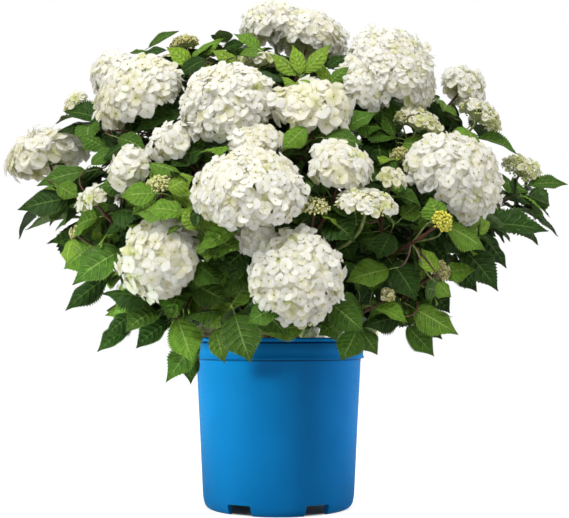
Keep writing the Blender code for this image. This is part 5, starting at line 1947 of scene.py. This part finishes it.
def build_leaves(leaves):
    """Leaves of each age in two tints, with undersides and stalks of their own."""
    stalks = {tint: Joined() for tint in STALKS}
    under = {tint: Joined() for tint in UNDERSIDES}
    for age in AGES:
        of_age = [grown for grown in leaves if grown.age == age]
        for half, factor in enumerate((0.84, 1.08)):
            joined = Joined()
            for kind, (face, below, tube) in LEAF_KINDS.items():
                chosen = [grown.leaf for grown in of_age[half::2] if grown.kind == kind]
                if not chosen:
                    continue
                forms = LeafForms(chosen, f"leaves {age} {half} {kind}", kind.startswith("posed"))
                along, side, tooth, faces, uv = blade_template(*face)
                joined.add(forms.blade(along, side, tooth), faces, uv)
                along, side, tooth, faces, uv = blade_template(*below)
                blades = forms.blade(along, side, tooth, 0.0, UNDERSIDE_SINK, UNDERSIDE_NARROWER)
                under[UNDERSIDE_OF[age]].add(blades, faces[:, ::-1], uv)
                stalks[STALK_OF[age]].add(forms.stalk(*tube), tube_faces(*tube))
            base, vein, roughness = LEAF_TINTS[age]
            name = f"{age}_{half + 1}"
            material = leaf_material(f"leaf_{name}", shade(base, factor), vein, roughness)
            joined.piece(f"leaves_{name}", material, "foliage", *FOLIAGE_NODES)
    for tint, (piece, name, tissue, vein) in UNDERSIDES.items():
        under[tint].piece(piece, leaf_material(name, tissue, vein, 0.6, True), "foliage")
    for tint, (piece, name, dark, light) in STALKS.items():
        material = grain_material(name, dark, light, 0.45, 500.0, (1, 1, 0.4), 0.2, 0.0002)
        stalks[tint].piece(piece, material, "foliage")


# ---------------------------------------------------------------- blossom
PETAL_TINTS = {  # face, base and vein colours
    "white": ((0.970, 0.962, 0.938), (0.86, 0.86, 0.70), (0.88, 0.87, 0.80)),
    "warm": ((0.955, 0.935, 0.862), (0.80, 0.79, 0.52), (0.85, 0.82, 0.68)),
    "cream": ((0.925, 0.902, 0.745), (0.72, 0.72, 0.36), (0.80, 0.77, 0.54)),
    "cool": ((0.945, 0.937, 0.922), (0.82, 0.82, 0.67), (0.84, 0.83, 0.80)),
    "green": ((0.800, 0.810, 0.470), (0.58, 0.64, 0.20), (0.64, 0.67, 0.32)),
}

# How the florets of a head are dealt among those tints, in that order.
HEAD_MIXES = ((0.80, 0.06, 0, 0.14, 0), (0.74, 0.12, 0, 0.14, 0), (0.68, 0.10, 0.01, 0.21, 0))
WARM_MIXES = ((0.30, 0.52, 0.14, 0.04, 0), (0.36, 0.44, 0.14, 0.06, 0))
CREAM_MIX = (0.12, 0.48, 0.34, 0.06, 0)
CREAM_HEADS = (("upper_centre", 1),)
YOUNG_MIXES = {"white": (0.40, 0.30, 0.20, 0.0, 0.10), "green": (0.06, 0.24, 0.34, 0.0, 0.36)}
PALE_YOUNG = (("centre", 2), ("left", 2), ("upper_right", 3), ("low_centre", 1), ("upper_left", 2))
WARM_HEADS = (
    ("low_left", 0), ("upper_centre", 1), ("left", 0), ("left", 1),
    ("upper_centre", 2), ("upper_left", 0), ("centre", 1),
)
FLORET_SIZES = {  # radius, by mass and number of the shoot
    ("left", 0): 0.0134,
    ("left", 1): 0.0114,
    ("upper_centre", 1): 0.0134,
    ("upper_centre", 2): 0.0102,
    ("upper_centre", 3): 0.0110,
    ("upper_left", 0): 0.0112,
    ("upper_left", 1): 0.0104,
    ("low_left", 0): 0.0120,
    ("centre", 1): 0.0114,
    ("centre", 3): 0.0124,
}
BEAD_TINTS = {
    "yellow": ((0.46, 0.44, 0.03), (0.84, 0.78, 0.13)),
    "tan": ((0.30, 0.26, 0.08), (0.62, 0.56, 0.24)),
    "pale": ((0.44, 0.47, 0.14), (0.78, 0.77, 0.42)),
}
EYE_TINTS = ((0.05, 0.04, 0.02), (0.30, 0.26, 0.12))
PEDICEL_TINTS = ((0.36, 0.42, 0.14), (0.62, 0.66, 0.36))

FLORET_RADIUS = 0.0093
YOUNG_FLORET_RADIUS = 0.0062
BUD_FLORET_RADIUS = 0.0036
PEDICEL_RADII = {OPEN: 0.00055, YOUNG: 0.0005, BUD: 0.0004}
EYE_SIZES = (0.0008, 0.0013)
# A layer of a head: spacing, how far from the top it reaches in degrees, depth, and lumps.
Layer = namedtuple("Layer", "spacing reach depth lumps")
OPEN_OUTSIDE = Layer(1.53, 123, 0.2, 0.18)  # spacing and depth in floret radii
OPEN_INSIDE = Layer(1.55, 118, 0.50, 0.12)
YOUNG_OUTSIDE = Layer(YOUNG_FLORET_RADIUS * 1.75, 100, 0.001, 0.07)  # and in metres
YOUNG_INSIDE = Layer(0.0064, 108, 0.0022, 0.07)
BUD_OUTSIDE = Layer(0.0046, 112, 0.0004, 0.16)
BUD_INSIDE = Layer(0.0048, 105, 0.0028, 0.08)
BUD_FLORETS = Layer(0.0125, 95, 0.0, 0.08)
YOUNG_BEADS, YOUNG_TOP_BEADS = 0.0017, 0.0015  # sizes
BUD_BEADS, INNER_BUD_BEADS = 0.0018, 0.0016
INNER_MIX = (0.15, 0.52, 0.28, 0, 0.05)
BUD_MIX = (0, 0.1, 0.4, 0, 0.5)
YELLOW_MASS = "right"  # its buds are yellow, and bear no florets yet


class Blossom:
    """The petals, eyes, beads and stalks of all the heads."""

    def __init__(self):
        self.petals = {tint: Joined() for tint in PETAL_TINTS}
        self.beads = {tint: Joined() for tint in BEAD_TINTS}
        self.eyes, self.stalks = Joined(), Joined()

    def add_petals(self, centres, normals, radius, rng, shares, cup=0.0, wild=1.0, form=PETAL):
        """Florets, dealt among the tints by these shares."""
        tints = list(PETAL_TINTS)
        dealt = rng.choice(len(tints), len(centres), p=np.array(shares) / np.sum(shares))
        cup = np.broadcast_to(cup, len(centres))
        template, faces = form
        for i, tint in enumerate(tints):
            chosen = dealt == i
            if chosen.any():
                places = (centres[chosen], normals[chosen])
                points = petals(*places, radius, rng, template, cup[chosen], wild)
                self.petals[tint].add(points, faces, template[:, 2:])

    def add_beads(self, tint, centres, size, rng):
        """Round buds, of sizes near this one."""
        count = len(centres)
        sizes = size * rng.uniform(0.75, 1.2, (count, 1, 1))
        form = BEAD[None] * sizes * rng.uniform(0.85, 1.15, (count, 1, 3))
        self.beads[tint].add(centres[:, None] + form, BEAD_FACES)

    def add_stalks(self, foot, ends, radius):
        """A stalk from the shoot's end to each of these places."""
        self.stalks.add(pedicels(foot, ends, radius), tube_faces(3, 3))

    def open_head(self, key, tip, foot, rng):
        """A ball of open florets, with fewer and plainer ones inside."""
        radius = FLORET_SIZES.get(key, FLORET_RADIUS)
        mixes = WARM_MIXES if key in WARM_HEADS else HEAD_MIXES
        shares = mixes[rng.integers(len(mixes))]
        shares = CREAM_MIX if key in CREAM_HEADS else shares
        centres, normals, cosine = dome_places(tip, OPEN_OUTSIDE, rng, radius)
        skirt = np.where(cosine < 0.15, 0.22, 0.0)
        depth = radius * rng.normal(0.08, 0.29, (len(centres), 1))
        faces = (centres - normals * depth, tipped(normals, 0.20, rng))
        self.add_petals(*faces, radius, rng, shares, skirt, 1.3)
        eye = centres - normals * (depth - 0.0009)
        size = rng.uniform(*EYE_SIZES, (len(eye), 1, 1))
        self.eyes.add(eye[:, None] + EYE[None] * size, EYE_FACES)
        inner, outward, _ = dome_places(tip, OPEN_INSIDE, rng, radius)
        faces = (inner, tipped(outward, 0.08, rng))
        self.add_petals(*faces, radius * 1.08, rng, INNER_MIX, form=PLAIN_PETAL)
        self.add_stalks(foot, centres - normals * 0.001, PEDICEL_RADII[OPEN])

    def young_head(self, key, tip, foot, rng):
        """Small florets, half open, among buds."""
        radius = YOUNG_FLORET_RADIUS
        centres, normals, _ = dome_places(tip, YOUNG_OUTSIDE, rng)
        shares = YOUNG_MIXES["white" if key in PALE_YOUNG else "green"]
        faces = (centres, tipped(normals, 0.2, rng))
        self.add_petals(*faces, radius, rng, shares, 0.24, 1.1, PLAIN_PETAL)
        self.add_stalks(foot, centres, PEDICEL_RADII[YOUNG])
        between, ways, _ = dome_places(tip, YOUNG_INSIDE, rng)
        self.add_beads("pale", between, YOUNG_BEADS, rng)
        self.add_beads("tan", between[::3] + ways[::3] * 0.001, YOUNG_TOP_BEADS, rng)

    def bud(self, key, tip, foot, rng):
        """A head of closed buds in two layers, most with a few small florets."""
        yellow = key[0] == YELLOW_MASS
        tint = "yellow" if yellow else rng.choice(["tan", "pale"])
        below = {"yellow": "yellow", "tan": "pale", "pale": "tan"}[tint]
        outer, ways, _ = dome_places(tip, BUD_OUTSIDE, rng)
        spread = ways * rng.normal(0, 0.0010, (len(outer), 1))
        self.add_beads(tint, outer + spread, BUD_BEADS, rng)
        inner, _, _ = dome_places(tip, BUD_INSIDE, rng)
        self.add_beads(below, inner, INNER_BUD_BEADS, rng)
        self.add_stalks(foot, outer, PEDICEL_RADII[BUD])
        if not yellow:
            few, ways, _ = dome_places(tip, BUD_FLORETS, rng)
            faces = (few, tipped(ways, 0.3, rng))
            self.add_petals(*faces, BUD_FLORET_RADIUS, rng, BUD_MIX, 0.4, 1.2, PLAIN_PETAL)

    def pieces(self):
        """The pieces of the scene, one a tint."""
        for tint, colours in PETAL_TINTS.items():
            material = petal_material(f"petal_{tint}", *colours)
            self.petals[tint].piece(f"petals_{tint}", material, "foliage", *FOLIAGE_NODES)
        for tint, tints in BEAD_TINTS.items():
            material = grain_material(f"bud_{tint}", *tints, 0.55, 900.0, strength=0.2, distance=0.0002)
            self.beads[tint].piece(f"buds_{tint}", material, "foliage")
        eye = grain_material("floret_eye", *EYE_TINTS, 0.5, 700.0)
        self.eyes.piece("floret_eyes", eye, "foliage")
        stalk = grain_material("floret_stalk", *PEDICEL_TINTS, 0.5, 500.0)
        self.stalks.piece("floret_stalks", stalk, "foliage")


def build_blossom(grown):
    """Every head, by what its tip bears."""
    blossom = Blossom()
    makers = {OPEN: blossom.open_head, YOUNG: blossom.young_head}
    for name, shoots in grown.items():
        for number, shoot in enumerate(shoots):
            if shoot.tip.width:
                rng = draws(f"head {name} {number}")
                foot = np.array(shoot.limb.path[-1])
                makers.get(shoot.tip.bears, blossom.bud)((name, number), shoot.tip, foot, rng)
    blossom.pieces()


# ---------------------------------------------------------------- the scene
add_camera()
add_studio()
add_floor()
build_pot()
build_mix()
canes, grown, leaves, sprigs = grow(all_masses())
build_crown_and_canes(canes)
build_stems(grown, sprigs)
build_leaves(leaves)
build_blossom(grown)
